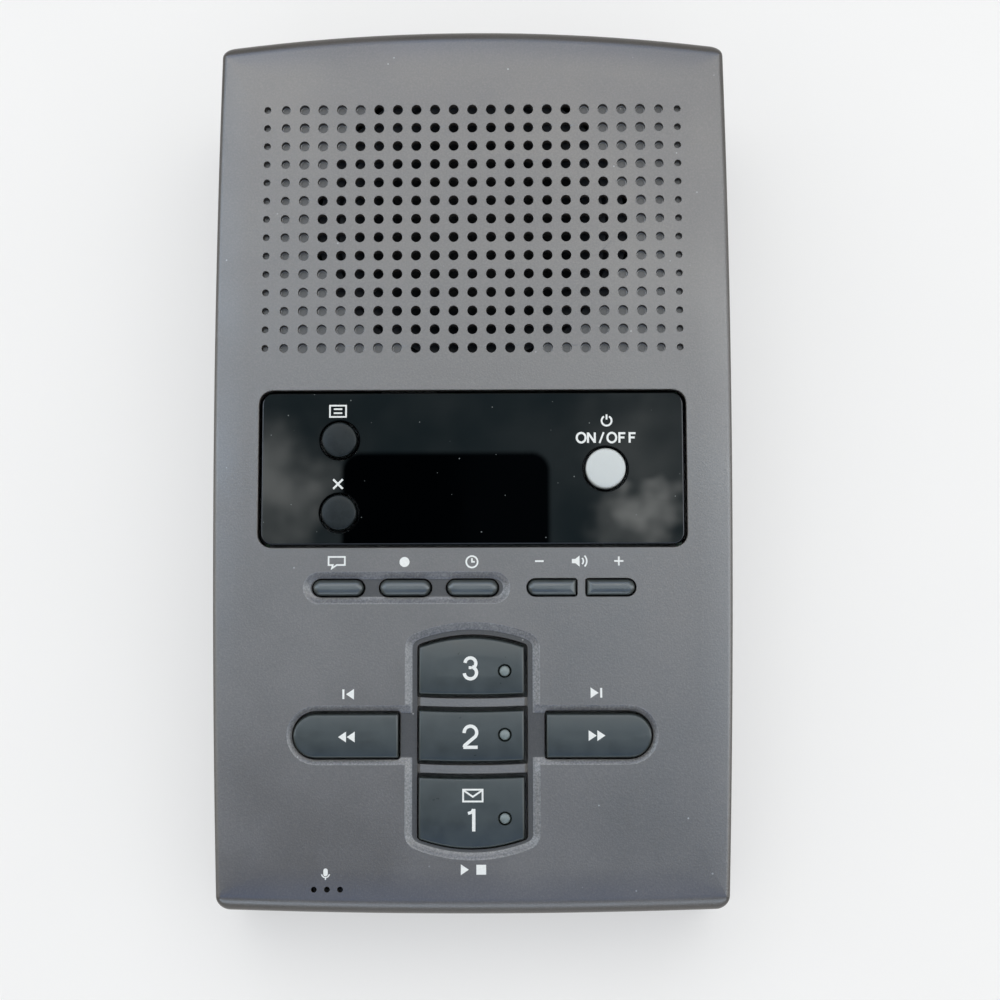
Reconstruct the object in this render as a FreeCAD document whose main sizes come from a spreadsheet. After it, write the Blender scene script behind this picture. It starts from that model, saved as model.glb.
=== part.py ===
# Digital telephone answering machine, desk model: a moulded wedge of ABS with a speaker grille,
# a smoked display lens and thirteen sprung keys in its sloping face.
# Millimetres. +Z is up, +Y is the rear with the sockets, +X is the user's right.
# The origin lies in the middle of the plan, on the table under the rubber feet.
# "The face" is the sloping top surface. Pieces that belong to it are drawn in its own frame,
# whose origin is the middle of the face, with +Z outward; levels below it are negative.
import FreeCAD, Part
import math
import os
import re
import Sketcher

Vector = FreeCAD.Vector
doc = FreeCAD.newDocument("answering_machine")

# ---------------------------------------------------------------- driving dimensions
sizes = {
    # housing
    "body_length": 187.6,
    "rear_half_width": 54.0,
    "front_half_width": 52.8,
    "side_bow_radius": 3060,
    "rear_bow": 3.6,
    "front_bow": 1.0,
    "rear_height": 44.0,
    "face_slope": 4.0,
    "parting_height": 20.0,
    "wall": 2.2,
    "end_round": 3.2,
    "corner_round": 2.6,
    "side_edge": 0.8,
    "floor_edge": 1.2,
    "overrun": 5.0,
    "root_depth": 0.5,
    "cut_lap": 0.1,
    "lip_wall": 1.0,
    "lip_height": 2.4,
    "fit_gap": 0.15,
    # speaker grille
    "grille_pitch": 4.0,
    "grille_columns": 23,
    "grille_rows": 14,
    "grille_middle_y": 49.8,
    "grille_hole": 2.1,
    "grille_hole_next": 1.8,
    "grille_hole_outer": 1.4,
    "dimple_depth": 0.9,
    # loudspeaker
    "speaker_diameter": 66.0,
    "speaker_rim": 1.0,
    "speaker_rim_width": 3.5,
    "speaker_seal": 0.2,
    "basket_depth": 11.0,
    "basket_wall": 1.0,
    "basket_floor_diameter": 36.0,
    "magnet_diameter": 32.0,
    "magnet_depth": 7.0,
    "cone_wall": 0.5,
    "cone_neck_diameter": 14.0,
    "cone_depth": 7.5,
    "cone_cap_height": 2.5,
    "cone_gap": 0.9,
    "speaker_ring_wall": 1.3,
    "speaker_clamp_angle": 38.0,
    "clamp_gap": 0.1,
    "clamp_washer_width": 7.6,
    "clamp_screw_length": 2.0,
    # display lens and what shows through it
    "lens_width": 89.0,
    "lens_length": 32.2,
    "lens_y": -1.95,
    "lens_corner": 2.4,
    "lens_thickness": 1.8,
    "lens_sink": 0.35,
    "lens_gap": 0.6,
    "lens_shelf": 1.4,
    "lens_shelf_margin": 1.0,
    "lens_bed_gap": 0.1,
    "lens_edge": 0.35,
    "window_width": 30.0,
    "window_length": 19.0,
    "digit_block_width": 25.0,
    "digit_block_length": 15.0,
    "digit_block_height": 5.0,
    "digit_width": 10.0,
    "digit_length": 12.6,
    "digit_sink": 0.4,
    # keys
    "key_travel": 0.8,
    "key_clearance": 0.3,
    "key_stand": 1.0,
    "key_edge": 0.5,
    "key_corner": 0.6,
    "key_skin": 1.3,
    "ear_thickness": 1.0,
    "ear_reach": 1.1,
    "ear_half_width": 2.5,
    "seat_gap": 0.2,
    "stem_width": 2.4,
    "switch_gap": 0.1,
    "switch_rise": 2.5,
    "recess_depth": 0.6,
    "small_key_hole": 8.4,
    "answer_key_hole": 9.5,
    "side_key_x": 28.0,
    "memo_y": 4.1,
    "erase_y": -11.3,
    "answer_y": -2.1,
    "pill_y": -27.1,
    "pill_length": 11.1,
    "pill_width": 3.8,
    "pill_pitch": 14.0,
    "pill_crown": 0.9,
    "volume_length": 10.6,
    "volume_down_x": 16.6,
    "volume_up_x": 28.9,
    "pill_recess_margin": 0.95,
    "pill_recess_left": 0.4,
    "pill_recess_right": 0.9,
    "mailbox_hole_width": 22.8,
    "mailbox_rear_y": -36.9,
    "mailbox_front_y": -81.0,
    "mailbox_bow": 2.1,
    "upper_bar_y": -50.75,
    "lower_bar_y": -64.45,
    "bar_width": 1.6,
    "mailbox_recess_margin": 2.1,
    "skip_inner_x": 15.0,
    "skip_outer_x": 37.4,
    "skip_y": -57.65,
    "skip_width": 9.9,
    "skip_recess_margin": 0.65,
    "lamp_x": 6.7,
    "lamp_diameter": 2.1,
    "lamp_foot_width": 3.4,
    "lamp_foot_height": 1.6,
    "lamp_clearance": 0.3,
    # microphone
    "mic_x": -29.9,
    "mic_hole_y": -89.1,
    "mic_hole": 1.2,
    "mic_hole_pitch": 2.7,
    "mic_y": -87.2,
    "mic_diameter": 6.0,
    "mic_height": 3.4,
    "mic_boot_wall": 0.8,
    "mic_ring_wall": 1.2,
    "mic_boot_skin": 1.0,
    "mic_boot_skirt": 0.2,
    "mic_gap": 0.05,
    # key board and its rubber mat
    "board_thickness": 1.6,
    "key_board_level": -9.0,
    "key_board_half_width": 44.5,
    "key_board_rear_y": 15.6,
    "key_board_front_y": -82.0,
    "mat_thickness": 1.2,
    "mat_half_width": 43.4,
    "mat_inset": 2.2,
    "dome_width": 5.6,
    "mat_clearance": 1.0,
    "board_boss_diameter": 5.0,
    "board_boss_rear_x": 39.0,
    "board_boss_front_x": 41.0,
    "board_boss_rear_y": 11.0,
    "board_boss_front_y": -76.5,
    "board_screw_diameter": 2.2,
    "board_screw_head": 4.2,
    "board_screw_head_height": 1.5,
    "board_screw_length": 6.0,
    "screw_hole_gap": 0.25,
    "screw_fit": 0.05,
    "screw_seat_gap": 0.02,
    "screw_tip_gap": 0.6,
    "line_screw_length": 4.0,
    # case screws
    "case_boss_diameter": 7.5,
    "case_boss_x": 46.0,
    "case_boss_rear_y": 82.5,
    "case_boss_front_y": -85.0,
    "case_boss_foot": 13.0,
    "case_screw_diameter": 2.9,
    "case_screw_head": 5.4,
    "case_screw_head_height": 2.0,
    "case_screw_length": 16.0,
    "case_screw_seat": 6.5,
    # bottom case
    "foot_height": 1.5,
    "foot_width": 10.0,
    "foot_edge": 0.4,
    "foot_sink": 0.8,
    "foot_x": 42.0,
    "foot_rear_y": 66.0,
    "foot_front_y": -68.0,
    "floor_thickness": 2.2,
    # sockets on the line board
    "line_board_level": 6.4,
    "line_board_half_width": 40.5,
    "line_board_front_y": 52.0,
    "line_board_rear_y": 88.0,
    "line_post_diameter": 5.0,
    "line_post_x": 37.0,
    "line_post_inset": 5.0,
    "line_post_rear_inset": 13.0,
    "socket_sink": 0.8,
    "socket_gap": 0.3,
    "modular_width": 13.0,
    "modular_height": 11.6,
    "modular_depth": 15.5,
    "modular_port_width": 9.7,
    "modular_port_height": 6.7,
    "modular_port_depth": 12.5,
    "modular_floor": 1.2,
    "modular_latch_width": 4.2,
    "modular_latch_height": 2.0,
    "modular_latch_setback": 4.0,
    "line_jack_x": -10.0,
    "phone_jack_x": 8.0,
    "contact_pitch": 1.02,
    "contact_wire": 0.45,
    "contact_drop": 1.6,
    "contact_setback": 3.0,
    "contact_end_gap": 0.3,
    "contact_gap": 0.02,
    "power_jack_x": 29.0,
    "power_width": 9.0,
    "power_height": 11.0,
    "power_depth": 14.0,
    "power_bore": 6.3,
    "power_bore_depth": 9.5,
    "power_bore_rise": 0.3,
    "power_pin_setback": 1.0,
    "power_pin": 2.0,
    # backup battery and its door
    "battery_length": 48.5,
    "battery_width": 26.5,
    "battery_height": 17.5,
    "battery_corner": 2.0,
    "battery_left_x": -1.0,
    "battery_y": 0.0,
    "battery_gap": 0.4,
    "bay_wall": 1.4,
    "snap_thickness": 3.0,
    "snap_half_width": 11.5,
    "snap_inset": 3.0,
    "snap_gap": 0.2,
    "door_thickness": 2.0,
    "door_length": 62.0,
    "door_margin": 2.2,
    "door_gap": 0.3,
    "door_end_gap": 0.2,
    "door_play": 0.1,
    "door_shelf": 1.0,
    "tongue_reach": 1.0,
    "tongue_thickness": 0.8,
    "tongue_level": 0.8,
    "tongue_gap": 0.2,
    "door_rib_height": 0.5,
    "door_rib_pitch": 2.4,
    "door_ribs": 5,
    "door_rib_half_width": 8.0,
    "door_rib_inset": 8.0,
    # parts on the boards
    "chip_side": 14.0,
    "chip_height": 2.0,
    "chip_x": -26.0,
    "chip_y": -46.0,
    "processor_length": 36.0,
    "processor_width": 14.0,
    "processor_height": 3.6,
    "processor_x": 8.0,
    "processor_y": -52.0,
    "crystal_length": 10.0,
    "crystal_width": 4.0,
    "crystal_height": 3.2,
    "crystal_x": 34.0,
    "crystal_y": -52.0,
    "transformer_width": 16.0,
    "transformer_length": 13.0,
    "transformer_height": 11.0,
    "transformer_x": -26.0,
    "transformer_y": 64.0,
    "relay_width": 10.0,
    "relay_length": 15.0,
    "relay_height": 10.0,
    "relay_x": -27.0,
    "relay_y": 79.5,
    "capacitor_diameter": 8.0,
    "capacitor_height": 11.0,
    "capacitor_x": 28.5,
    "capacitor_y": 56.5,
    "capacitor_pitch": 8.4,
    "regulator_width": 10.0,
    "regulator_thickness": 4.5,
    "regulator_height": 9.0,
    "regulator_x": 17.0,
    "regulator_y": 60.0,
    "ribbon_width": 12.0,
    "ribbon_thickness": 0.9,
    "ribbon_x": -14.0,
    "ribbon_y": 29.0,
    "ribbon_bend": 3.0,
    "ribbon_seat": 4.0,
    "ribbon_lap": 3.0,
    "ribbon_gap": 0.1,
}

sheet = doc.addObject("Spreadsheet::Sheet", "Sizes")
for row, (alias, number) in enumerate(sizes.items(), 1):
    sheet.set(f"A{row}", alias)
    sheet.set(f"B{row}", str(number))
    sheet.setAlias(f"B{row}", alias)
doc.recompute()

# sizes that follow from the driving ones, as expressions over the sheet's names
face_middle = "(rear_height - body_length / 2 * tan(face_slope))"
ceiling = "(-wall)"
shelf_top = "(-lens_sink - lens_thickness - lens_bed_gap)"
shelf_bottom = f"({shelf_top} - lens_shelf)"
key_top = "key_stand"
stem_tip = "(key_board_level + mat_thickness + switch_rise)"
dome_top = f"({stem_tip} - key_travel - switch_gap)"
floor_top = "(foot_height + floor_thickness)"
rear_corner_y = "(body_length / 2 - rear_bow)"
front_corner_y = "(front_bow - body_length / 2)"
rear_bow_radius = "(rear_half_width ^ 2 / (2 * rear_bow) + rear_bow / 2)"
front_bow_radius = "(front_half_width ^ 2 / (2 * front_bow) + front_bow / 2)"

# sides of the polygons that stand in for circles where facets hardly show
hole_sides = 6
boss_sides = 8
hidden_sides = 12
speaker_sides = 30

# how much of the half width a round end leaves to the room inside a key
round_end_share = 0.6

# how many holes each side of the middle column are open in each row, from the rear row forward;
# the rest of the grille is blind dimples
open_holes_each_side = (5, 6, 6, 7, 7, 8, 8, 8, 8, 7, 7, 6, 5, 3)


# ---------------------------------------------------------------- expressions and sketches
def tie(expression):
    """Point every size named in an expression at its cell in the sheet."""
    return re.sub(r"\b[a-z][a-z_]*\b(?!\()", lambda word: "Sizes." + word.group(), str(expression))


def value(expression):
    """The present value of an expression over the sheet's names."""
    return float(sheet.evalExpression(tie(expression)))


def sketch_on(body, name, level="0", plane="XY_Plane"):
    """An empty sketch on one of the body's own origin planes, lifted to a level."""
    sketch = body.newObject("Sketcher::SketchObject", name)
    origin_plane = next(item for item in body.Origin.OriginFeatures if item.Role == plane)
    sketch.AttachmentSupport = [(origin_plane, "")]
    sketch.MapMode = "FlatFace"
    sketch.setExpression(".AttachmentOffset.Base.z", tie(level))
    return sketch


def upright_sketch(body, name, height):
    """A level sketch at a height above the table, in a body that is drawn in the face's frame."""
    sketch = sketch_on(body, name)
    sketch.AttachmentOffset = FreeCAD.Placement(Vector(), FreeCAD.Rotation(Vector(1, 0, 0), -1))
    rise = f"(({height}) - {face_middle})"
    sketch.setExpression(".AttachmentOffset.Base.y", tie(f"{rise} * sin(face_slope)"))
    sketch.setExpression(".AttachmentOffset.Base.z", tie(f"{rise} * cos(face_slope)"))
    sketch.setExpression(".AttachmentOffset.Rotation.Angle", tie("-face_slope"))
    return sketch


def bind(sketch, dimensions):
    """Add dimensions to a sketch and tie each to the sheet. Each is (label, expression, constraint...)."""
    constraints = [Sketcher.Constraint(*rest, value(expression)) for _, expression, *rest in dimensions]
    first = sketch.ConstraintCount
    sketch.addConstraint(constraints)
    for index, (label, expression, *_) in enumerate(dimensions, first):
        sketch.renameConstraint(index, label)
        sketch.setExpression("Constraints." + label, tie(expression))


def arc_through(start, end, radius, hollow):
    """The arc from start to end that bulges to the right of the way it runs, or to the left."""
    half = (end - start) * 0.5
    inward = Vector(-half.y, half.x, 0).normalize() * (-1 if hollow else 1)
    centre = start + half + inward * math.sqrt(max(radius ** 2 - half.Length ** 2, 0))
    return Part.ArcOfCircle(start, centre - inward * radius, end)


def draw_outline(sketch, points):
    """A closed outline, counter-clockwise. Each point is (x, y), or (x, y, radius) where an arc
    leaves it, or (x, y, radius, True) where that arc is hollow. All are expressions."""
    places = [Vector(value(point[0]), value(point[1]), 0) for point in points]
    first = sketch.GeometryCount
    count = len(points)
    ends = []
    for index, point in enumerate(points):
        start, end = places[index], places[(index + 1) % count]
        hollow = len(point) == 4
        if len(point) == 2:
            sketch.addGeometry(Part.LineSegment(start, end), False)
        else:
            sketch.addGeometry(arc_through(start, end, value(point[2]), hollow), False)
        ends.append((2, 1) if hollow else (1, 2))
    joints = []
    dimensions = []
    for index, point in enumerate(points):
        edge = first + index
        following = (index + 1) % count
        joints.append(Sketcher.Constraint(
            "Coincident", edge, ends[index][1], first + following, ends[following][0]))
        dimensions.append((f"across_{edge}", point[0], "DistanceX", -1, 1, edge, ends[index][0]))
        dimensions.append((f"along_{edge}", point[1], "DistanceY", -1, 1, edge, ends[index][0]))
        if len(point) > 2:
            dimensions.append((f"bend_{edge}", point[2], "Radius", edge))
    sketch.addConstraint(joints)
    bind(sketch, dimensions)
    return places


def draw_box(sketch, left, right, front, rear):
    return draw_outline(sketch, [(left, front), (right, front), (right, rear), (left, rear)])


def draw_square(sketch, x, y, width):
    reach = f"({width}) / 2"
    return draw_box(sketch, f"{x} - {reach}", f"{x} + {reach}", f"{y} - {reach}", f"{y} + {reach}")


def draw_circle(sketch, x, y, diameter):
    centre = Vector(value(x), value(y), 0)
    edge = sketch.addGeometry(Part.Circle(centre, Vector(0, 0, 1), value(diameter) / 2), False)
    bind(sketch, [
        (f"across_{edge}", x, "DistanceX", -1, 1, edge, 3),
        (f"along_{edge}", y, "DistanceY", -1, 1, edge, 3),
        (f"wide_{edge}", diameter, "Diameter", edge),
    ])


def draw_polygon(sketch, x, y, width, sides=boss_sides):
    """A regular polygon, for round features whose facets don't matter. Its width is corner to corner."""
    def corner(index):
        turn = f"{(index + 0.5) * 360 / sides}"
        return f"({x}) + ({width}) / 2 * cos({turn})", f"({y}) + ({width}) / 2 * sin({turn})"
    return draw_outline(sketch, [corner(index) for index in range(sides)])


def bar(left, right, front, rear, round_left=False, round_right=False, front_bow=None, rear_bow=None):
    """A bar-shaped outline: its ends may be half round, its front and rear edges may bow outward."""
    return dict(left=left, right=right, front=front, rear=rear, round_left=round_left,
                round_right=round_right, front_bow=front_bow, rear_bow=rear_bow)


def draw_bar(sketch, shape, grow="0"):
    """Draw a bar, grown all round. Returns its square corners."""
    left = f"({shape['left']} - ({grow}))"
    right = f"({shape['right']} + ({grow}))"
    front = f"({shape['front']} - ({grow}))"
    rear = f"({shape['rear']} + ({grow}))"
    end = f"(({rear} - {front}) / 2)"
    middle = f"(({rear} + {front}) / 2)"

    def bowed(point, bow):
        if not bow:
            return point
        return point + (f"(({right} - {left}) ^ 2 / (8 * {bow}) + {bow} / 2)",)

    first_x = f"({left} + {end})" if shape["round_left"] else left
    last_x = f"({right} - {end})" if shape["round_right"] else right
    points = [bowed((first_x, front), shape["front_bow"])]
    if shape["round_right"]:
        points += [(last_x, front, end), (right, middle, end)]
    else:
        points += [(last_x, front)]
    points += [bowed((last_x, rear), shape["rear_bow"])]
    if shape["round_left"]:
        points += [(first_x, rear, end), (left, middle, end)]
    else:
        points += [(first_x, rear)]
    draw_outline(sketch, points)
    corners = []
    if not shape["round_left"]:
        corners += [(left, front), (left, rear)]
    if not shape["round_right"]:
        corners += [(right, front), (right, rear)]
    return [Vector(value(x), value(y), 0) for x, y in corners]


# ---------------------------------------------------------------- bodies and features
def place_on_face(item, x="0", y="0", level="0"):
    """Put an object in the frame of the sloping face, at a place and level of its own."""
    item.Placement = FreeCAD.Placement(Vector(), FreeCAD.Rotation(Vector(1, 0, 0), 1))
    item.setExpression(".Placement.Base.x", tie(x))
    item.setExpression(".Placement.Base.y", tie(f"({y}) * cos(face_slope) - ({level}) * sin(face_slope)"))
    item.setExpression(".Placement.Base.z", tie(
        f"{face_middle} + ({y}) * sin(face_slope) + ({level}) * cos(face_slope)"))
    item.setExpression(".Placement.Rotation.Angle", tie("face_slope"))


def place_upright(item, x="0", y="0", height="0"):
    """Put an object square to the table."""
    item.setExpression(".Placement.Base.x", tie(x))
    item.setExpression(".Placement.Base.y", tie(y))
    item.setExpression(".Placement.Base.z", tie(height))


finished = []


def new_body(name, keep=True):
    body = doc.addObject("PartDesign::Body", name)
    body.Label = name
    if keep:
        finished.append(body)
    return body


def pad(sketch, length, down=False):
    body = sketch.getParentGeoFeatureGroup()
    feature = body.newObject("PartDesign::Pad", sketch.Name + "_pad")
    feature.Profile = sketch
    feature.Reversed = down
    feature.setExpression("Length", tie(length))
    doc.recompute()
    return feature


def pocket(sketch, depth, up=False):
    """Cut downward from a sketch, or upward. It must take something away."""
    body = sketch.getParentGeoFeatureGroup()
    before = body.Tip.Shape.Volume
    feature = body.newObject("PartDesign::Pocket", sketch.Name + "_pocket")
    feature.Profile = sketch
    feature.Reversed = up
    feature.setExpression("Length", tie(depth))
    doc.recompute()
    if feature.Shape.Volume > before - 1e-6:
        raise RuntimeError(f"{feature.Name} cuts nothing")
    return feature


def revolve(sketch):
    """Turn a half profile about the upright axis of its sketch."""
    body = sketch.getParentGeoFeatureGroup()
    feature = body.newObject("PartDesign::Revolution", sketch.Name + "_turned")
    feature.Profile = sketch
    feature.ReferenceAxis = (sketch, ["V_Axis"])
    feature.Angle = 360
    doc.recompute()
    return feature


def soften_edges(body, name, size, chosen, kind="Fillet"):
    """Round or bevel the edges of a body that a test picks out."""
    base = body.Tip
    names = [f"Edge{index}" for index, edge in enumerate(base.Shape.Edges, 1) if chosen(edge)]
    if not names:
        raise RuntimeError(f"{name} finds no edge")
    feature = body.newObject("PartDesign::" + kind, name)
    feature.Base = (base, names)
    feature.setExpression("Radius" if kind == "Fillet" else "Size", tie(size))
    doc.recompute()
    return feature


def round_edges(body, name, radius, chosen):
    return soften_edges(body, name, radius, chosen)


def bevel_edges(body, name, size, chosen):
    return soften_edges(body, name, size, chosen, "Chamfer")


def at_level(level):
    """A test for edges that lie flat at one level of their body."""
    height = value(level)
    return lambda edge: abs(edge.BoundBox.ZMin - height) < 1e-3 and abs(edge.BoundBox.ZMax - height) < 1e-3


def upright_at(corners):
    """A test for upright edges at given corners."""
    def chosen(edge):
        box = edge.BoundBox
        if box.ZLength < 0.05 or box.XLength > 0.01 or box.YLength > 0.01:
            return False
        return any(math.hypot(box.Center.x - at.x, box.Center.y - at.y) < 0.01 for at in corners)
    return chosen


def keep_shape(name, shape):
    """A sub-part whose shape is put together outright, placed by what made it."""
    feature = doc.addObject("Part::Feature", name)
    feature.Label = name
    feature.Shape = shape
    finished.append(feature)
    return feature


# ---------------------------------------------------------------- the shared outlines
def plan_points(inset):
    """The plan of the housing, a given distance inside its outer surface."""
    rear_x = f"(rear_half_width - ({inset}))"
    front_x = f"(front_half_width - ({inset}))"
    rear_y = f"({rear_corner_y} - ({inset}))"
    front_y = f"({front_corner_y} + ({inset}))"
    side = f"(side_bow_radius - ({inset}))"
    return [
        (f"-{front_x}", front_y, f"({front_bow_radius} - ({inset}))"),
        (front_x, front_y, side),
        (rear_x, rear_y, f"({rear_bow_radius} - ({inset}))"),
        (f"-{rear_x}", rear_y, side),
    ]


def mailbox_hole(front, rear, front_bow=None, rear_bow=None):
    return bar("-mailbox_hole_width / 2", "mailbox_hole_width / 2", front, rear,
               front_bow=front_bow, rear_bow=rear_bow)


bar_half = "bar_width / 2"
mailbox_holes = {
    "mailbox_3_key": mailbox_hole(f"(upper_bar_y + {bar_half})", "(mailbox_rear_y - mailbox_bow)",
                                  rear_bow="mailbox_bow"),
    "mailbox_2_key": mailbox_hole(f"(lower_bar_y + {bar_half})", f"(upper_bar_y - {bar_half})"),
    "mailbox_1_key": mailbox_hole("(mailbox_front_y + mailbox_bow)", f"(lower_bar_y - {bar_half})",
                                  front_bow="mailbox_bow"),
}
skip_front = "(skip_y - skip_width / 2)"
skip_rear = "(skip_y + skip_width / 2)"
bar_holes = {
    "repeat_key": bar("(-skip_outer_x)", "(-skip_inner_x)", skip_front, skip_rear, round_left=True),
    "skip_key": bar("skip_inner_x", "skip_outer_x", skip_front, skip_rear, round_right=True),
}
pill_front = "(pill_y - pill_width / 2)"
pill_rear = "(pill_y + pill_width / 2)"


def pill_hole(x, length="pill_length", round_left=True, round_right=True):
    return bar(f"({x} - {length} / 2)", f"({x} + {length} / 2)", pill_front, pill_rear,
               round_left=round_left, round_right=round_right)


pill_holes = {
    "greeting_key": pill_hole("(-2 * pill_pitch)"),
    "set_key": pill_hole("(-pill_pitch)"),
    "time_key": pill_hole("0"),
    "volume_down_key": pill_hole("volume_down_x", "volume_length", round_right=False),
    "volume_up_key": pill_hole("volume_up_x", "volume_length", round_left=False),
}
round_holes = {
    "memo_key": ("(-side_key_x)", "memo_y", "small_key_hole"),
    "erase_key": ("(-side_key_x)", "erase_y", "small_key_hole"),
    "answer_key": ("side_key_x", "answer_y", "answer_key_hole"),
}
lamp_places = {name: f"(({hole['front']} + {hole['rear']}) / 2)" for name, hole in mailbox_holes.items()}


def middle_of(shape):
    """The middle of a bar, as expressions."""
    return f"(({shape['left']} + {shape['right']}) / 2)", f"(({shape['front']} + {shape['rear']}) / 2)"


stem_places = {name: middle_of(hole) for name, hole in {**mailbox_holes, **bar_holes, **pill_holes}.items()}
stem_places.update({name: hole[:2] for name, hole in round_holes.items()})

board_boss_places = [
    (f"({side} * {x})", y)
    for side in (-1, 1)
    for x, y in (("board_boss_rear_x", "board_boss_rear_y"), ("board_boss_front_x", "board_boss_front_y"))
]
case_boss_places = [
    (f"({side} * case_boss_x)", y) for side in (-1, 1) for y in ("case_boss_rear_y", "case_boss_front_y")
]


# ---------------------------------------------------------------- top cover
def dimple(rim, middle, depth):
    """A pointed pit: the corners of its rim, closed in a loop, and how deep its point lies."""
    above = Vector(0, 0, 0.5)
    point = middle - Vector(0, 0, depth)
    raised = [corner + (corner - middle) * (0.5 / depth) + above for corner in rim]
    faces = [Part.Face(Part.makePolygon([point, second, first, point]))
             for first, second in zip(raised, raised[1:])]
    faces.append(Part.Face(Part.makePolygon(raised)))
    return Part.makeSolid(Part.makeShell(faces))


def regular_polygon(x, y, width, sides, level=0.0):
    """A closed wire with its corners where draw_polygon puts them."""
    turns = [2 * math.pi * (index + 0.5) / sides for index in range(sides + 1)]
    return Part.makePolygon([
        Vector(x + width / 2 * math.cos(turn), y + width / 2 * math.sin(turn), level) for turn in turns])


def clamp_screw_tip(x, y):
    """The end of a loudspeaker clamp screw's bore, which runs up into the face."""
    wire = regular_polygon(value(x), value(y), value("board_screw_diameter"), boss_sides,
                           value(f"{ceiling} - cut_lap"))
    return Part.Face(wire).extrude(Vector(0, 0, value(f"cut_lap + {clamp_bore_depth} - {clamp_post_depth}")))


def grille_row(row):
    """One row of the speaker grille as a strip of the face, with open holes and blind dimples."""
    pitch = value("grille_pitch")
    rows = int(value("grille_rows"))
    side = int(value("grille_columns")) // 2
    y = value("grille_middle_y") + ((rows - 1) / 2 - row) * pitch
    open_side = open_holes_each_side[row] if row < len(open_holes_each_side) else 0
    half_width = value(grille_half_width)
    edge = [Vector(-half_width, y - pitch / 2), Vector(half_width, y - pitch / 2),
            Vector(half_width, y + pitch / 2), Vector(-half_width, y + pitch / 2)]
    holes = []
    dimples = []
    for column in range(-side, side + 1):
        from_edge = side - abs(column)
        width = value(("grille_hole_outer", "grille_hole_next", "grille_hole")[min(from_edge, 2)])
        if abs(column) <= open_side:
            holes.append(regular_polygon(column * pitch, y, width, hole_sides))
        else:
            middle = Vector(column * pitch, y, 0)
            rim = [middle + Vector(dx * width / 2, dy * width / 2, 0)
                   for dx, dy in ((1, 0), (0, 1), (-1, 0), (0, -1), (1, 0))]
            dimples.append(dimple(rim, middle, value("dimple_depth")))
    sheet_face = Part.makeFace([Part.makePolygon(edge + edge[:1])] + holes, "Part::FaceMakerCheese")
    tips = [clamp_screw_tip(*place) for place in clamp_places]
    return sheet_face.extrude(Vector(0, 0, -value("wall"))).cut(dimples + tips)


def end_round_cutter(name, end, bow_radius):
    """A turned cutter that rounds the face over into the bowed rear (1) or front (-1) wall."""
    cutter = new_body(name, keep=False)
    cutter.Placement = FreeCAD.Placement(Vector(), FreeCAD.Rotation(Vector(0, 0, 1), 0 if end > 0 else 180))
    cutter.setExpression(".Placement.Base.y", tie(f"{end} * (body_length / 2 - {bow_radius})"))
    middle = f"({bow_radius} - end_round)"
    height = (f"({face_middle} + {end} * (body_length / 2 - end_round) * tan(face_slope)"
              " - end_round / cos(face_slope))")
    crest_x = f"({middle} - {end} * end_round * sin(face_slope))"
    crest_z = f"({height} + end_round * cos(face_slope))"
    profile = sketch_on(cutter, name + "_profile", plane="YZ_Plane")
    draw_outline(profile, [
        (bow_radius, height),
        (f"{bow_radius} + end_round", height),
        (f"{bow_radius} + end_round", f"{crest_z} + end_round"),
        (crest_x, f"{crest_z} + end_round"),
        (crest_x, crest_z, "end_round", True),
    ])
    revolve(profile)
    return cutter


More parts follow.
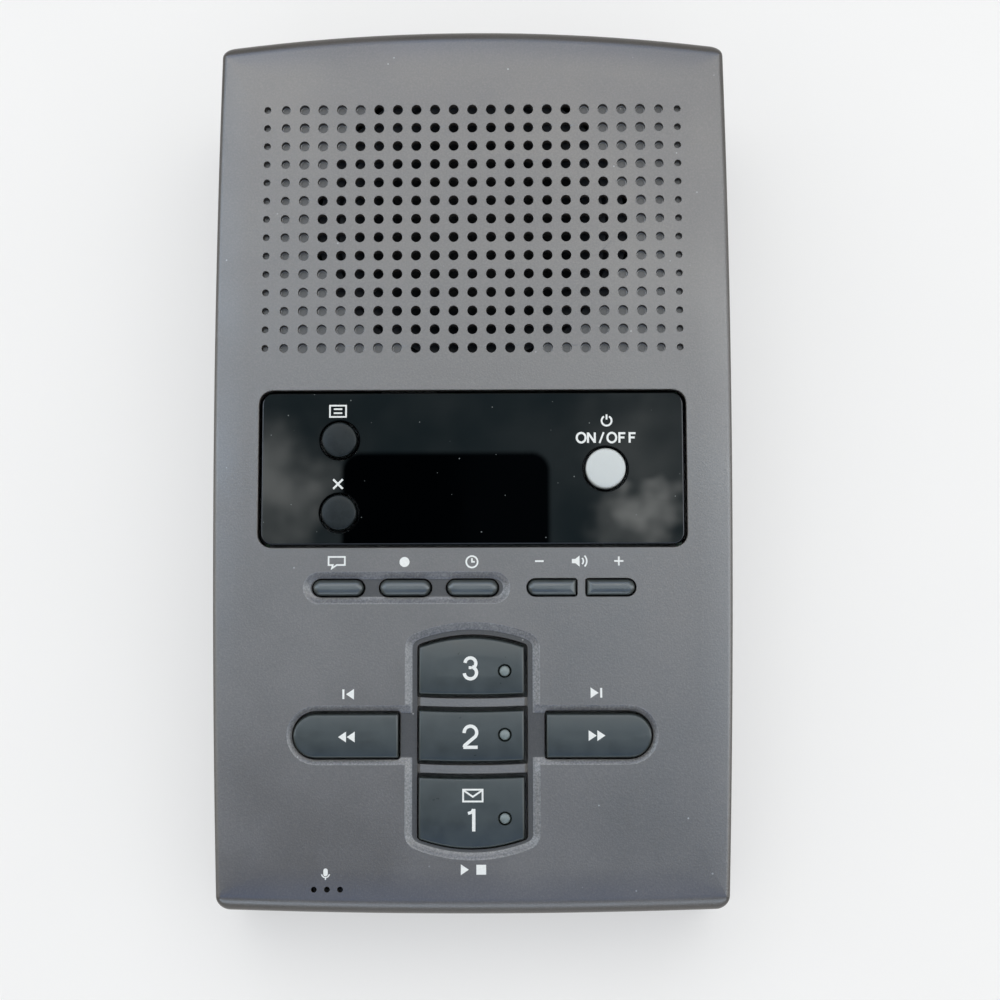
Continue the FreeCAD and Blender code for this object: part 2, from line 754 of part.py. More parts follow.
def make_top_cover():
    cover = new_body("cover_moulding", keep=False)
    place_on_face(cover)

    outline = upright_sketch(cover, "cover_outline", "parting_height")
    draw_outline(outline, plan_points("0"))
    pad(outline, "rear_height - parting_height + overrun")
    above = sketch_on(cover, "above_face")
    draw_box(above, "-body_length", "body_length", "-body_length", "body_length")
    pocket(above, "rear_height", up=True)

    corners = [Vector(value(x), value(y), 0) for x, y, _ in plan_points("0")]
    slope_shift = value("rear_height") * math.tan(math.radians(value("face_slope")))

    def at_plan_corner(edge):
        middle = edge.BoundBox.Center
        upright = edge.BoundBox.ZLength > 5 and edge.BoundBox.XLength < 1
        return upright and any(
            abs(middle.x - at.x) < 1 and abs(middle.y - at.y) < slope_shift for at in corners)
    round_edges(cover, "plan_corners", "corner_round", at_plan_corner)
    bevel_edges(cover, "side_edges", "side_edge", at_level("0"))

    # the inside, open at the bottom, and the rebate that the bottom case's lip stands in
    ceiling_plane = cover.newObject("PartDesign::Plane", "ceiling_plane")
    ceiling_plane.AttachmentSupport = [(next(item for item in cover.Origin.OriginFeatures
                                             if item.Role == "XY_Plane"), "")]
    ceiling_plane.MapMode = "FlatFace"
    ceiling_plane.setExpression(".AttachmentOffset.Base.z", tie(ceiling))
    inside = upright_sketch(cover, "inside", "parting_height")
    draw_outline(inside, plan_points("wall"))
    hollow = cover.newObject("PartDesign::Pocket", "inside_pocket")
    hollow.Profile = inside
    hollow.Type = "UpToFace"
    hollow.UpToFace = (ceiling_plane, [""])
    hollow.Reversed = True
    doc.recompute()
    rebate = upright_sketch(cover, "rebate", "parting_height")
    draw_outline(rebate, plan_points("wall - lip_wall - fit_gap"))
    pocket(rebate, "lip_height + fit_gap", up=True)

    # a thicker shelf under the lens
    shelf = sketch_on(cover, "shelf", ceiling)
    shelf_margin = "(lens_gap + lens_shelf_margin)"
    draw_box(shelf, f"-(lens_width / 2 + {shelf_margin})", f"lens_width / 2 + {shelf_margin}",
             f"lens_y - lens_length / 2 - {shelf_margin}", f"lens_y + lens_length / 2 + {shelf_margin}")
    pad(shelf, f"{ceiling} - {shelf_bottom}", down=True)

    # ring round the loudspeaker and its clamp posts
    ring = sketch_on(cover, "speaker_ring", ceiling)
    draw_polygon(ring, "0", "grille_middle_y", "speaker_diameter + 2 * key_clearance + 2 * speaker_ring_wall",
                 speaker_sides)
    draw_polygon(ring, "0", "grille_middle_y", "speaker_diameter + 2 * key_clearance", speaker_sides)
    pad(ring, clamp_post_depth, down=True)
    posts = sketch_on(cover, "clamp_posts", ceiling)
    for x, y in clamp_places:
        draw_polygon(posts, x, y, "board_boss_diameter")
    pad(posts, clamp_post_depth, down=True)

    # posts for the key board, and taller ones for the case screws
    bosses = sketch_on(cover, "board_bosses", ceiling)
    for x, y in board_boss_places:
        draw_polygon(bosses, x, y, "board_boss_diameter")
    pad(bosses, f"{ceiling} - key_board_level", down=True)
    for end in ("rear", "front"):
        pair = upright_sketch(cover, f"case_bosses_{end}", "case_boss_foot")
        for side in (-1, 1):
            draw_polygon(pair, f"({side} * case_boss_x)", f"case_boss_{end}_y", "case_boss_diameter")
        pad(pair, f"{face_middle} + case_boss_{end}_y * tan(face_slope) - wall / 2 - case_boss_foot")
    case_bores = upright_sketch(cover, "case_boss_bores", "case_boss_foot")
    for x, y in case_boss_places:
        draw_polygon(case_bores, x, y, "case_screw_diameter")
    pocket(case_bores, "case_screw_length - (case_boss_foot - case_screw_seat) + screw_tip_gap", up=True)
    bores = sketch_on(cover, "board_boss_bores", "key_board_level")
    for x, y in board_boss_places:
        draw_polygon(bores, x, y, "board_screw_diameter")
    pocket(bores, "board_screw_length - board_thickness + screw_tip_gap", up=True)
    clamp_bores = sketch_on(cover, "clamp_bores", f"{ceiling} - {clamp_post_depth}")
    for x, y in clamp_places:
        draw_polygon(clamp_bores, x, y, "board_screw_diameter")
    pocket(clamp_bores, clamp_bore_depth, up=True)

    # a ring that holds the microphone's boot
    mic_ring = sketch_on(cover, "mic_ring", ceiling)
    boot = "(mic_diameter + 2 * mic_boot_wall)"
    draw_polygon(mic_ring, "mic_x", "mic_y", f"({boot} + 2 * fit_gap + 2 * mic_ring_wall)", hidden_sides)
    draw_polygon(mic_ring, "mic_x", "mic_y", f"({boot} + 2 * fit_gap)", hidden_sides)
    pad(mic_ring, "mic_height", down=True)

    # shallow recesses in the face, round the keys
    cross = sketch_on(cover, "mailbox_recess")
    stack = mailbox_hole("(mailbox_front_y + mailbox_bow)", "(mailbox_rear_y - mailbox_bow)",
                         front_bow="mailbox_bow", rear_bow="mailbox_bow")
    draw_bar(cross, stack, "mailbox_recess_margin")
    pill_row = bar("(-2 * pill_pitch - pill_length / 2 - pill_recess_left)",
                   "(pill_length / 2 + pill_recess_right)", pill_front, pill_rear,
                   round_left=True, round_right=True)
    draw_bar(cross, pill_row, "pill_recess_margin")
    pocket(cross, "recess_depth")
    arms = sketch_on(cover, "skip_recess")
    skip_row = bar("-skip_outer_x", "skip_outer_x", skip_front, skip_rear, round_left=True, round_right=True)
    draw_bar(arms, skip_row, "skip_recess_margin")
    pocket(arms, "recess_depth")

    # the lens lies in a rectangular recess with round corners
    bed = sketch_on(cover, "lens_bed")
    corners = draw_bar(bed, bar("-lens_width / 2", "lens_width / 2", "(lens_y - lens_length / 2)",
                                "(lens_y + lens_length / 2)"), "lens_gap")
    pocket(bed, f"-({shelf_top})")
    round_edges(cover, "lens_bed_corners", "lens_corner + lens_gap", upright_at(corners))

    # the openings for keys, grille, window and microphone
    through = sketch_on(cover, "face_openings")
    for hole in [*mailbox_holes.values(), *bar_holes.values(), *pill_holes.values()]:
        draw_bar(through, hole)
    for step in (-1, 0, 1):
        draw_polygon(through, f"(mic_x + {step} * mic_hole_pitch)", "mic_hole_y", "mic_hole")
    draw_box(through, f"-{grille_half_width}", grille_half_width, f"grille_middle_y - {grille_half_length}",
             f"grille_middle_y + {grille_half_length}")
    pocket(through, "wall")
    openings = sketch_on(cover, "lens_openings", shelf_top)
    for x, y, width in round_holes.values():
        draw_polygon(openings, x, y, f"({width} + 4 * key_clearance)", hidden_sides)
    draw_box(openings, "-window_width / 2", "window_width / 2", "lens_y - window_length / 2",
             "lens_y + window_length / 2")
    pocket(openings, "lens_shelf")

    rounds = doc.addObject("Part::Compound", "end_rounds")
    rounds.Links = [end_round_cutter("rear_round", 1, rear_bow_radius),
                    end_round_cutter("front_round", -1, front_bow_radius)]
    rounded = doc.addObject("Part::Cut", "rounded_moulding")
    rounded.Base = cover
    rounded.Tool = rounds
    strips = []
    for row in range(int(value("grille_rows"))):
        strip = doc.addObject("Part::Feature", f"grille_row_{row}")
        strip.Shape = grille_row(row)
        place_on_face(strip)
        strips.append(strip)
    perforated = doc.addObject("Part::MultiFuse", "top_cover")
    perforated.Label = "top_cover"
    perforated.Shapes = [rounded] + strips
    finished.append(perforated)
    doc.recompute()


grille_half_width = "(grille_columns * grille_pitch / 2)"
grille_half_length = "(grille_rows * grille_pitch / 2)"
clamp_radius = "(speaker_diameter / 2 + key_clearance + board_boss_diameter / 2)"
clamp_places = [
    (f"({across} * {clamp_radius} * cos(speaker_clamp_angle))",
     f"(grille_middle_y + {along} * {clamp_radius} * sin(speaker_clamp_angle))")
    for across in (-1, 1) for along in (-1, 1)
]
clamp_post_depth = "(speaker_seal + speaker_rim + clamp_gap)"
clamp_bore_depth = "(clamp_screw_length + fit_gap)"

make_top_cover()


# ---------------------------------------------------------------- display lens and counter
def make_lens():
    lens = new_body("display_lens")
    place_on_face(lens)
    plate = sketch_on(lens, "lens_plate", "-lens_sink - lens_thickness")
    corners = draw_bar(plate, bar("-lens_width / 2", "lens_width / 2", "(lens_y - lens_length / 2)",
                                  "(lens_y + lens_length / 2)"))
    pad(plate, "lens_thickness")
    round_edges(lens, "lens_corners", "lens_corner", upright_at(corners))
    bevel_edges(lens, "lens_edges", "lens_edge", at_level("-lens_sink"))
    holes = sketch_on(lens, "lens_holes", "-lens_sink")
    for x, y, width in round_holes.values():
        draw_circle(holes, x, y, width)
    pocket(holes, "lens_thickness")


def make_counter():
    """A two-digit display on the key board, under the window in the shelf."""
    block = new_body("counter_display")
    place_on_face(block)
    base = sketch_on(block, "counter_block", "key_board_level")
    draw_box(base, "-digit_block_width / 2", "digit_block_width / 2", "lens_y - digit_block_length / 2",
             "lens_y + digit_block_length / 2")
    pad(base, "digit_block_height")
    windows = sketch_on(block, "digit_windows", "key_board_level + digit_block_height")
    for side in (-1, 1):
        middle = f"({side} * digit_block_width / 4)"
        draw_box(windows, f"{middle} - digit_width / 2", f"{middle} + digit_width / 2",
                 "lens_y - digit_length / 2", "lens_y + digit_length / 2")
    pocket(windows, "digit_sink")


make_lens()
make_counter()


# ---------------------------------------------------------------- keys
def make_key(name, draw, ear_level, ears, crown, hollow_draw=None):
    """A key cap with retaining ears under the cover and a stem that ends over its switch."""
    key = new_body(name)
    place_on_face(key)
    x, y = stem_places[name]
    cap = sketch_on(key, name + "_cap", f"{ear_level} - ear_thickness")
    square = draw(cap)
    pad(cap, f"{key_top} - ({ear_level} - ear_thickness)")
    if square:
        round_edges(key, name + "_corners", "key_corner", upright_at(square))
    bevel_edges(key, name + "_crown", crown, at_level(key_top))
    flange = sketch_on(key, name + "_ears", f"{ear_level} - ear_thickness")
    ears(flange)
    pad(flange, "ear_thickness")
    if hollow_draw:
        hollow = sketch_on(key, name + "_hollow", f"{ear_level} - ear_thickness")
        hollow_draw(hollow)
        pocket(hollow, f"{key_top} - key_skin - ({ear_level} - ear_thickness)", up=True)
    stem = sketch_on(key, name + "_stem", stem_tip)
    draw_square(stem, x, y, "stem_width")
    pad(stem, f"{key_top} - key_skin / 2 - {stem_tip}")
    return key


def draw_inner_box(sketch, hole, inset):
    """A plain box inside a bar, clear of its round ends."""
    end = f"(({hole['rear']} - {hole['front']}) / 2 * {round_end_share})"
    left = f"{hole['left']} + {inset}" + (f" + {end}" if hole["round_left"] else "")
    right = f"{hole['right']} - ({inset})" + (f" - {end}" if hole["round_right"] else "")
    draw_box(sketch, left, right, f"{hole['front']} + {inset}", f"{hole['rear']} - ({inset})")


def make_bar_key(name, hole, across, hollow=True, crown="key_edge"):
    """A key in a bar-shaped hole; its ears reach out at its ends or along its sides."""
    def ears(sketch):
        x, y = middle_of(hole)
        if across:
            draw_box(sketch, f"{hole['left']} - ear_reach", f"{hole['right']} + ear_reach",
                     f"{y} - ear_half_width", f"{y} + ear_half_width")
        else:
            draw_box(sketch, f"{x} - pill_length / 4", f"{x} + pill_length / 4",
                     f"{hole['front']} - ear_reach", f"{hole['rear']} + ear_reach")
    return make_key(
        name,
        lambda sketch: draw_bar(sketch, hole, "-key_clearance"),
        f"({ceiling} - seat_gap)",
        ears,
        crown,
        (lambda sketch: draw_inner_box(sketch, hole, "key_clearance + key_skin")) if hollow else None,
    )


def make_round_key(name):
    x, y, width = round_holes[name]
    make_key(
        name,
        lambda sketch: draw_circle(sketch, x, y, f"{width} - 2 * key_clearance"),
        f"({shelf_bottom} - seat_gap)",
        lambda sketch: draw_box(sketch, f"{x} - {width} / 2 - ear_reach", f"{x} + {width} / 2 + ear_reach",
                                f"{y} - {width} / 4", f"{y} + {width} / 4"),
        "key_edge",
    )


for key_name in round_holes:
    make_round_key(key_name)
for key_name, key_hole in pill_holes.items():
    key_crown = "pill_crown" if key_hole["round_left"] and key_hole["round_right"] else "key_edge"
    make_bar_key(key_name, key_hole, across=False, hollow=False, crown=key_crown)
for key_name, key_hole in bar_holes.items():
    make_bar_key(key_name, key_hole, across=False)
for key_name, key_hole in mailbox_holes.items():
    mailbox_key = make_bar_key(key_name, key_hole, across=True)
    lamp_hole = sketch_on(mailbox_key, key_name + "_lamp_hole", key_top)
    draw_polygon(lamp_hole, "lamp_x", lamp_places[key_name], "(lamp_diameter + 2 * lamp_clearance)",
                 hidden_sides)
    pocket(lamp_hole, f"{key_top} - {ceiling} + seat_gap + ear_thickness")


def make_lamp(key_name):
    """A lamp standing on the key board, its tip level with the key's top."""
    lamp = new_body(key_name.replace("_key", "_lamp"))
    place_on_face(lamp, "lamp_x", lamp_places[key_name])
    foot = sketch_on(lamp, lamp.Name + "_foot", "key_board_level")
    draw_square(foot, "0", "0", "lamp_foot_width")
    pad(foot, "lamp_foot_height")
    stem = sketch_on(lamp, lamp.Name + "_stem", "key_board_level + lamp_foot_height")
    draw_polygon(stem, "0", "0", "lamp_diameter", hidden_sides)
    pad(stem, f"{key_top} - (key_board_level + lamp_foot_height)")


for key_name in mailbox_holes:
    make_lamp(key_name)


# ---------------------------------------------------------------- key board, its mat and parts
def make_key_board():
    board = new_body("key_board")
    place_on_face(board)
    plate = sketch_on(board, "key_board_plate", "key_board_level - board_thickness")
    draw_box(plate, "-key_board_half_width", "key_board_half_width", "key_board_front_y", "key_board_rear_y")
    pad(plate, "board_thickness")
    holes = sketch_on(board, "key_board_holes", "key_board_level")
    for x, y in board_boss_places:
        draw_polygon(holes, x, y, "board_screw_diameter + 2 * screw_hole_gap")
    pocket(holes, "board_thickness")


def make_key_mat():
    """One sheet of silicone rubber with a raised switch under each key's stem."""
    mat = new_body("rubber_keypad")
    place_on_face(mat)
    top = "key_board_level + mat_thickness"
    sheet_sketch = sketch_on(mat, "mat_sheet", "key_board_level")
    draw_box(sheet_sketch, "-mat_half_width", "mat_half_width", "key_board_front_y + mat_inset",
             "key_board_rear_y - mat_inset")
    pad(sheet_sketch, "mat_thickness")
    domes = sketch_on(mat, "mat_domes", top)
    for x, y in stem_places.values():
        draw_square(domes, x, y, "dome_width")
    pad(domes, f"{dome_top} - ({top})")
    holes = sketch_on(mat, "mat_holes", top)
    for x, y in board_boss_places:
        draw_square(holes, x, y, "board_boss_diameter + 4 * screw_hole_gap")
    for y in lamp_places.values():
        draw_square(holes, "lamp_x", y, "lamp_foot_width + 2 * screw_hole_gap")
    draw_box(holes, "-digit_block_width / 2 - mat_clearance", "digit_block_width / 2 + mat_clearance",
             "lens_y - digit_block_length / 2 - mat_clearance", "lens_y + digit_block_length / 2 + mat_clearance")
    pocket(holes, "mat_thickness")


def make_block(name, width, length, height, x, y, level, on_face=True):
    """A moulded component seen as a block, hanging from the key board or standing upright."""
    block = new_body(name)
    (place_on_face if on_face else place_upright)(block, x, y, level)
    base = sketch_on(block, name + "_base")
    draw_box(base, f"-{width} / 2", f"{width} / 2", f"-{length} / 2", f"{length} / 2")
    pad(base, height, down=on_face)


board_underside = "(key_board_level - board_thickness)"
make_key_board()
make_key_mat()
make_block("voice_memory_chip", "chip_side", "chip_side", "chip_height", "chip_x", "chip_y", board_underside)
make_block("processor_chip", "processor_length", "processor_width", "processor_height",
           "processor_x", "processor_y", board_underside)
make_block("crystal", "crystal_width", "crystal_length", "crystal_height",
           "crystal_x", "crystal_y", board_underside)


# ---------------------------------------------------------------- loudspeaker
def turned(profile, sides):
    """A ring-shaped or closed solid turned from a profile of (radius, height), in flat facets."""
    def point(radius, height, index):
        turn = 2 * math.pi * (index + 0.5) / sides
        return Vector(radius * math.cos(turn), radius * math.sin(turn), height)
    faces = []
    for (radius, height), (next_radius, next_height) in zip(profile, profile[1:] + profile[:1]):
        for index in range(sides):
            corners = [point(radius, height, index)]
            if radius > 0:
                corners.append(point(radius, height, index + 1))
            if next_radius > 0:
                corners.append(point(next_radius, next_height, index + 1))
            corners.append(point(next_radius, next_height, index))
            if len(corners) > 2:
                faces.append(Part.Face(Part.makePolygon(corners + corners[:1])))
    shell = Part.makeShell(faces)
    shell.sewShape()
    solid = Part.makeSolid(shell)
    if solid.Volume < 0:
        solid.reverse()
    return solid.removeSplitter()


def make_speaker():
    rim_top = value(f"{ceiling} - speaker_seal")
    rim_bottom = rim_top - sizes["speaker_rim"]
    outer = sizes["speaker_diameter"] / 2
    inner = outer - sizes["speaker_rim_width"]
    wall = sizes["basket_wall"]
    floor_radius = sizes["basket_floor_diameter"] / 2
    floor_level = rim_bottom - sizes["basket_depth"]
    neck = sizes["cone_neck_diameter"] / 2
    sheet_wall = sizes["cone_wall"]
    rim = inner - sizes["cone_gap"]

    basket = [
        (0, floor_level),
        (floor_radius, floor_level),
        (inner + wall, rim_bottom),
        (outer, rim_bottom),
        (outer, rim_top),
        (inner, rim_top),
        (floor_radius - wall, floor_level + wall),
        (0, floor_level + wall),
    ]
    cone_floor = rim_top - sizes["cone_depth"]
    cone = [
        (0, cone_floor),
        (neck, cone_floor),
        (rim, rim_top - sheet_wall),
        (rim, rim_top),
        (neck, cone_floor + sheet_wall),
        (0, cone_floor + sizes["cone_cap_height"]),
    ]
    magnet = [
        (0, floor_level),
        (sizes["magnet_diameter"] / 2, floor_level),
        (sizes["magnet_diameter"] / 2, floor_level - sizes["magnet_depth"]),
        (0, floor_level - sizes["magnet_depth"]),
    ]
    for name, profile in (("speaker_basket", basket), ("speaker_cone", cone), ("speaker_magnet", magnet)):
        place_on_face(keep_shape(name, turned(profile, speaker_sides)), "0", "grille_middle_y")


make_speaker()


# ---------------------------------------------------------------- microphone
def make_microphone():
    boot_width = "(mic_diameter + 2 * mic_boot_wall)"
    boot = new_body("microphone_boot")
    place_on_face(boot, "mic_x", "mic_y", ceiling)
    ring = sketch_on(boot, "boot_ring")
    draw_polygon(ring, "0", "0", boot_width, hidden_sides)
    pad(ring, "mic_boot_skin + mic_height + mic_boot_skirt", down=True)
    bore = sketch_on(boot, "boot_bore", "-mic_boot_skin")
    draw_polygon(bore, "0", "0", "mic_diameter + fit_gap", hidden_sides)
    pocket(bore, "mic_height + mic_boot_skirt")
    voice_way = sketch_on(boot, "boot_voice_way")
    draw_box(voice_way, "-mic_hole_pitch", "mic_hole_pitch", "mic_hole_y - mic_y",
             "mic_hole_y - mic_y + mic_hole")
    pocket(voice_way, "mic_boot_skin")

    capsule = new_body("microphone")
    place_on_face(capsule, "mic_x", "mic_y", f"{ceiling} - mic_boot_skin - mic_gap")
    can = sketch_on(capsule, "capsule_can")
    draw_polygon(can, "0", "0", "mic_diameter", hidden_sides)
    pad(can, "mic_height", down=True)


make_microphone()


# ---------------------------------------------------------------- bottom case
def socket_face(x):
    """Where a socket's mouth stands, a little inside the bowed rear wall."""
    return f"(body_length / 2 - {rear_bow_radius} + sqrt({rear_bow_radius} ^ 2 - ({x}) ^ 2) - socket_sink)"


socket_floor = "(line_board_level + board_thickness)"
port_bottom = "(modular_floor + modular_latch_height)"
sockets = (
    ("line_jack_x", "modular_width", "modular_height"),
    ("phone_jack_x", "modular_width", "modular_height"),
    ("power_jack_x", "power_width", "power_height"),
)
bay_left = "(battery_left_x - snap_thickness - battery_gap)"
bay_right = "(battery_left_x + battery_length + battery_gap)"
bay_front = "(battery_y - battery_width / 2 - battery_gap)"
bay_rear = "(battery_y + battery_width / 2 + battery_gap)"
door_top = "(foot_height + door_thickness)"
bay_roof = f"({door_top} + battery_gap + battery_height + battery_gap)"
door_left = "(rear_half_width - door_length)"
door_front = f"({bay_front} - door_margin)"
door_rear = f"({bay_rear} + door_margin)"


def make_bottom_case():
    case = new_body("bottom_case")
    outline = sketch_on(case, "case_outline", "foot_height")
    draw_outline(outline, plan_points("0"))
    pad(outline, "parting_height - foot_height")
    corners = [Vector(value(x), value(y), 0) for x, y, _ in plan_points("0")]
    round_edges(case, "case_corners", "corner_round", upright_at(corners))
    bevel_edges(case, "case_foot_edges", "floor_edge", at_level("foot_height"))
    inside = sketch_on(case, "case_inside", "parting_height")
    draw_outline(inside, plan_points("wall"))
    pocket(inside, f"parting_height - {floor_top}")
    lip = sketch_on(case, "case_lip", "parting_height - root_depth")
    draw_outline(lip, plan_points("wall - lip_wall"))
    draw_outline(lip, plan_points("wall"))
    pad(lip, "lip_height + root_depth")

    # towers for the case screws, and posts for the line board
    towers = sketch_on(case, "case_towers", f"{floor_top} - root_depth")
    for x, y in case_boss_places:
        draw_polygon(towers, x, y, "case_boss_diameter")
    pad(towers, f"case_boss_foot - fit_gap - {floor_top} + root_depth")
    wells = sketch_on(case, "screw_wells", "foot_height")
    for x, y in case_boss_places:
        draw_polygon(wells, x, y, "(case_screw_head + 4 * screw_hole_gap)", hidden_sides)
    pocket(wells, "case_screw_seat - foot_height", up=True)
    ways = sketch_on(case, "screw_ways", "case_screw_seat")
    for x, y in case_boss_places:
        draw_polygon(ways, x, y, "case_screw_diameter + 2 * screw_hole_gap")
    pocket(ways, "case_boss_foot", up=True)
    posts = sketch_on(case, "line_posts", f"{floor_top} - root_depth")
    for x, y in line_post_places:
        draw_polygon(posts, x, y, "line_post_diameter")
    pad(posts, f"line_board_level - {floor_top} + root_depth")
    bores = sketch_on(case, "line_post_bores", "line_board_level")
    for x, y in line_post_places:
        draw_polygon(bores, x, y, "board_screw_diameter")
    pocket(bores, "line_screw_length - board_thickness + fit_gap")

    # seats for the rubber feet
    seats = sketch_on(case, "foot_seats", "foot_height")
    for x, y in foot_places.values():
        draw_square(seats, x, y, "foot_width + 2 * fit_gap")
    pocket(seats, "foot_sink", up=True)

    # the battery bay: a box standing on a shelf over the door, open below
    shelf = sketch_on(case, "door_shelf", f"{floor_top} - root_depth")
    draw_box(shelf, f"{door_left} - door_gap - wall", "rear_half_width - wall / 2",
             f"{door_front} - tongue_reach - wall", f"{door_rear} + tongue_reach + wall")
    pad(shelf, f"{door_top} + door_shelf - {floor_top} + root_depth")
    bay = sketch_on(case, "bay_walls", f"{floor_top} - root_depth")
    draw_box(bay, f"{bay_left} - bay_wall", f"{bay_right} + bay_wall", f"{bay_front} - bay_wall",
             f"{bay_rear} + bay_wall")
    pad(bay, f"{bay_roof} + bay_wall - {floor_top} + root_depth")
    room = sketch_on(case, "bay_room", "foot_height")
    draw_box(room, bay_left, bay_right, bay_front, bay_rear)
    pocket(room, f"{bay_roof} - foot_height", up=True)
    # the door's bed runs out through the right side, with a groove along each side for its tongues
    bed = sketch_on(case, "door_bed", "foot_height")
    draw_box(bed, f"{door_left} - door_gap", "rear_half_width + overrun", f"{door_front} - door_gap",
             f"{door_rear} + door_gap")
    pocket(bed, "door_thickness", up=True)
    grooves = sketch_on(case, "tongue_grooves", "foot_height + tongue_level - tongue_gap")
    draw_box(grooves, f"{door_left} - door_gap", "rear_half_width + overrun",
             f"{door_front} - tongue_reach - door_gap", f"{door_rear} + tongue_reach + door_gap")
    pocket(grooves, "tongue_thickness + 2 * tongue_gap", up=True)

    # openings for the sockets, from the rear
    mouths = sketch_on(case, "socket_mouths", "-body_length / 2 - overrun", plane="XZ_Plane")
    for x, width, height in sockets:
        draw_box(mouths, f"{x} - {width} / 2 - socket_gap", f"{x} + {width} / 2 + socket_gap",
                 f"{socket_floor} - socket_gap", f"{socket_floor} + {height} + socket_gap")
    pocket(mouths, "rear_bow + wall + 2 * overrun", up=True)


line_post_places = [
    (f"({side} * line_post_x)", y)
    for side in (-1, 1)
    for y in ("(line_board_front_y + line_post_inset)", "(line_board_rear_y - line_post_rear_inset)")
]
foot_places = {
    f"rubber_foot_{end}_{side}": (f"({sign} * foot_x)", f"foot_{end}_y")
    for side, sign in (("left", -1), ("right", 1)) for end in ("front", "rear")
}
make_bottom_case()


def make_feet():
    for name, (x, y) in foot_places.items():
        foot = new_body(name)
        place_upright(foot, x, y)
        base = sketch_on(foot, name + "_base")
        draw_square(base, "0", "0", "foot_width")
        pad(base, "foot_height + foot_sink")
        bevel_edges(foot, name + "_edges", "foot_edge", at_level("0"))


make_feet()


# ---------------------------------------------------------------- line board, sockets and parts
def make_line_board():
    board = new_body("line_board")
    plate = sketch_on(board, "line_board_plate", "line_board_level")
    draw_box(plate, "-line_board_half_width", "line_board_half_width", "line_board_front_y", "line_board_rear_y")
    pad(plate, "board_thickness")
    holes = sketch_on(board, "line_board_holes", socket_floor)
    for x, y in line_post_places:
        draw_polygon(holes, x, y, "board_screw_diameter + 2 * screw_hole_gap")
    pocket(holes, "board_thickness")


def make_modular_jack(name, x):
    """A six-place modular socket, open to the rear, with its latch slot at the bottom."""
    jack = new_body(name)
    place_upright(jack, x, socket_face(x), socket_floor)
    block = sketch_on(jack, name + "_block")
    draw_box(block, "-modular_width / 2", "modular_width / 2", "-modular_depth", "0")
    pad(block, "modular_height")
    port = sketch_on(jack, name + "_port", "0", plane="XZ_Plane")
    draw_box(port, "-modular_port_width / 2", "modular_port_width / 2", port_bottom,
             f"{port_bottom} + modular_port_height")
    pocket(port, "modular_port_depth", up=True)
    latch = sketch_on(jack, name + "_latch", "0", plane="XZ_Plane")
    draw_box(latch, "-modular_latch_width / 2", "modular_latch_width / 2", "modular_floor",
             f"{port_bottom} + cut_lap")
    pocket(latch, "modular_port_depth - modular_latch_setback", up=True)


make_line_board()
make_modular_jack("line_jack", "line_jack_x")
make_modular_jack("phone_jack", "phone_jack_x")


def make_jack_contacts():
    """Four gold wires in each modular socket, slanting down into the port from its roof."""
    wires = []
    width = value("contact_wire")
    drop = value("contact_drop")
    roof = value(f"{socket_floor} + {port_bottom} + modular_port_height - contact_gap")
    for x in ("line_jack_x", "phone_jack_x"):
        mouth = value(socket_face(x))
        for step in (-1.5, -0.5, 0.5, 1.5):
            middle = value(x) + step * value("contact_pitch")
            near = mouth - value("contact_setback")
            far = mouth - value("modular_port_depth") + value("contact_end_gap")
            corners = [
                Vector(middle - width / 2, near, roof),
                Vector(middle - width / 2, near, roof - width),
                Vector(middle - width / 2, far, roof - drop - width),
                Vector(middle - width / 2, far, roof - drop),
            ]
            side = Part.Face(Part.makePolygon(corners + corners[:1]))
            wires.append(side.extrude(Vector(width, 0, 0)))
    keep_shape("jack_contacts", Part.makeCompound(wires))


def make_power_jack():
    jack = new_body("power_jack")
    place_upright(jack, "power_jack_x", socket_face("power_jack_x"), socket_floor)
    block = sketch_on(jack, "power_block")
    draw_box(block, "-power_width / 2", "power_width / 2", "-power_depth", "0")
    pad(block, "power_height")
    bore = sketch_on(jack, "power_bore_mouth", "0", plane="XZ_Plane")
    draw_circle(bore, "0", "power_height / 2 + power_bore_rise", "power_bore")
    pocket(bore, "power_bore_depth", up=True)

    pin = new_body("power_pin")
    place_upright(pin, "power_jack_x", socket_face("power_jack_x"), socket_floor)
    rod = sketch_on(pin, "pin_rod", "power_bore_depth", plane="XZ_Plane")
    draw_circle(rod, "0", "power_height / 2 + power_bore_rise", "power_pin")
    pad(rod, "power_bore_depth - power_pin_setback", down=True)


make_jack_contacts()
make_power_jack()
make_block("line_transformer", "transformer_width", "transformer_length", "transformer_height",
           "transformer_x", "transformer_y", socket_floor, on_face=False)
make_block("line_relay", "relay_width", "relay_length", "relay_height",
           "relay_x", "relay_y", socket_floor, on_face=False)
make_block("voltage_regulator", "regulator_width", "regulator_thickness", "regulator_height",
           "regulator_x", "regulator_y", socket_floor, on_face=False)


def make_capacitors():
    """Three upright electrolytic capacitors in a row."""
    cans = new_body("capacitors")
    cans.AllowCompound = True
    place_upright(cans, "capacitor_x", "capacitor_y", socket_floor)
    base = sketch_on(cans, "capacitor_cans")
    for step in range(3):
        draw_polygon(base, "0", f"{step} * capacitor_pitch", "capacitor_diameter", hidden_sides)
    pad(base, "capacitor_height")


make_capacitors()


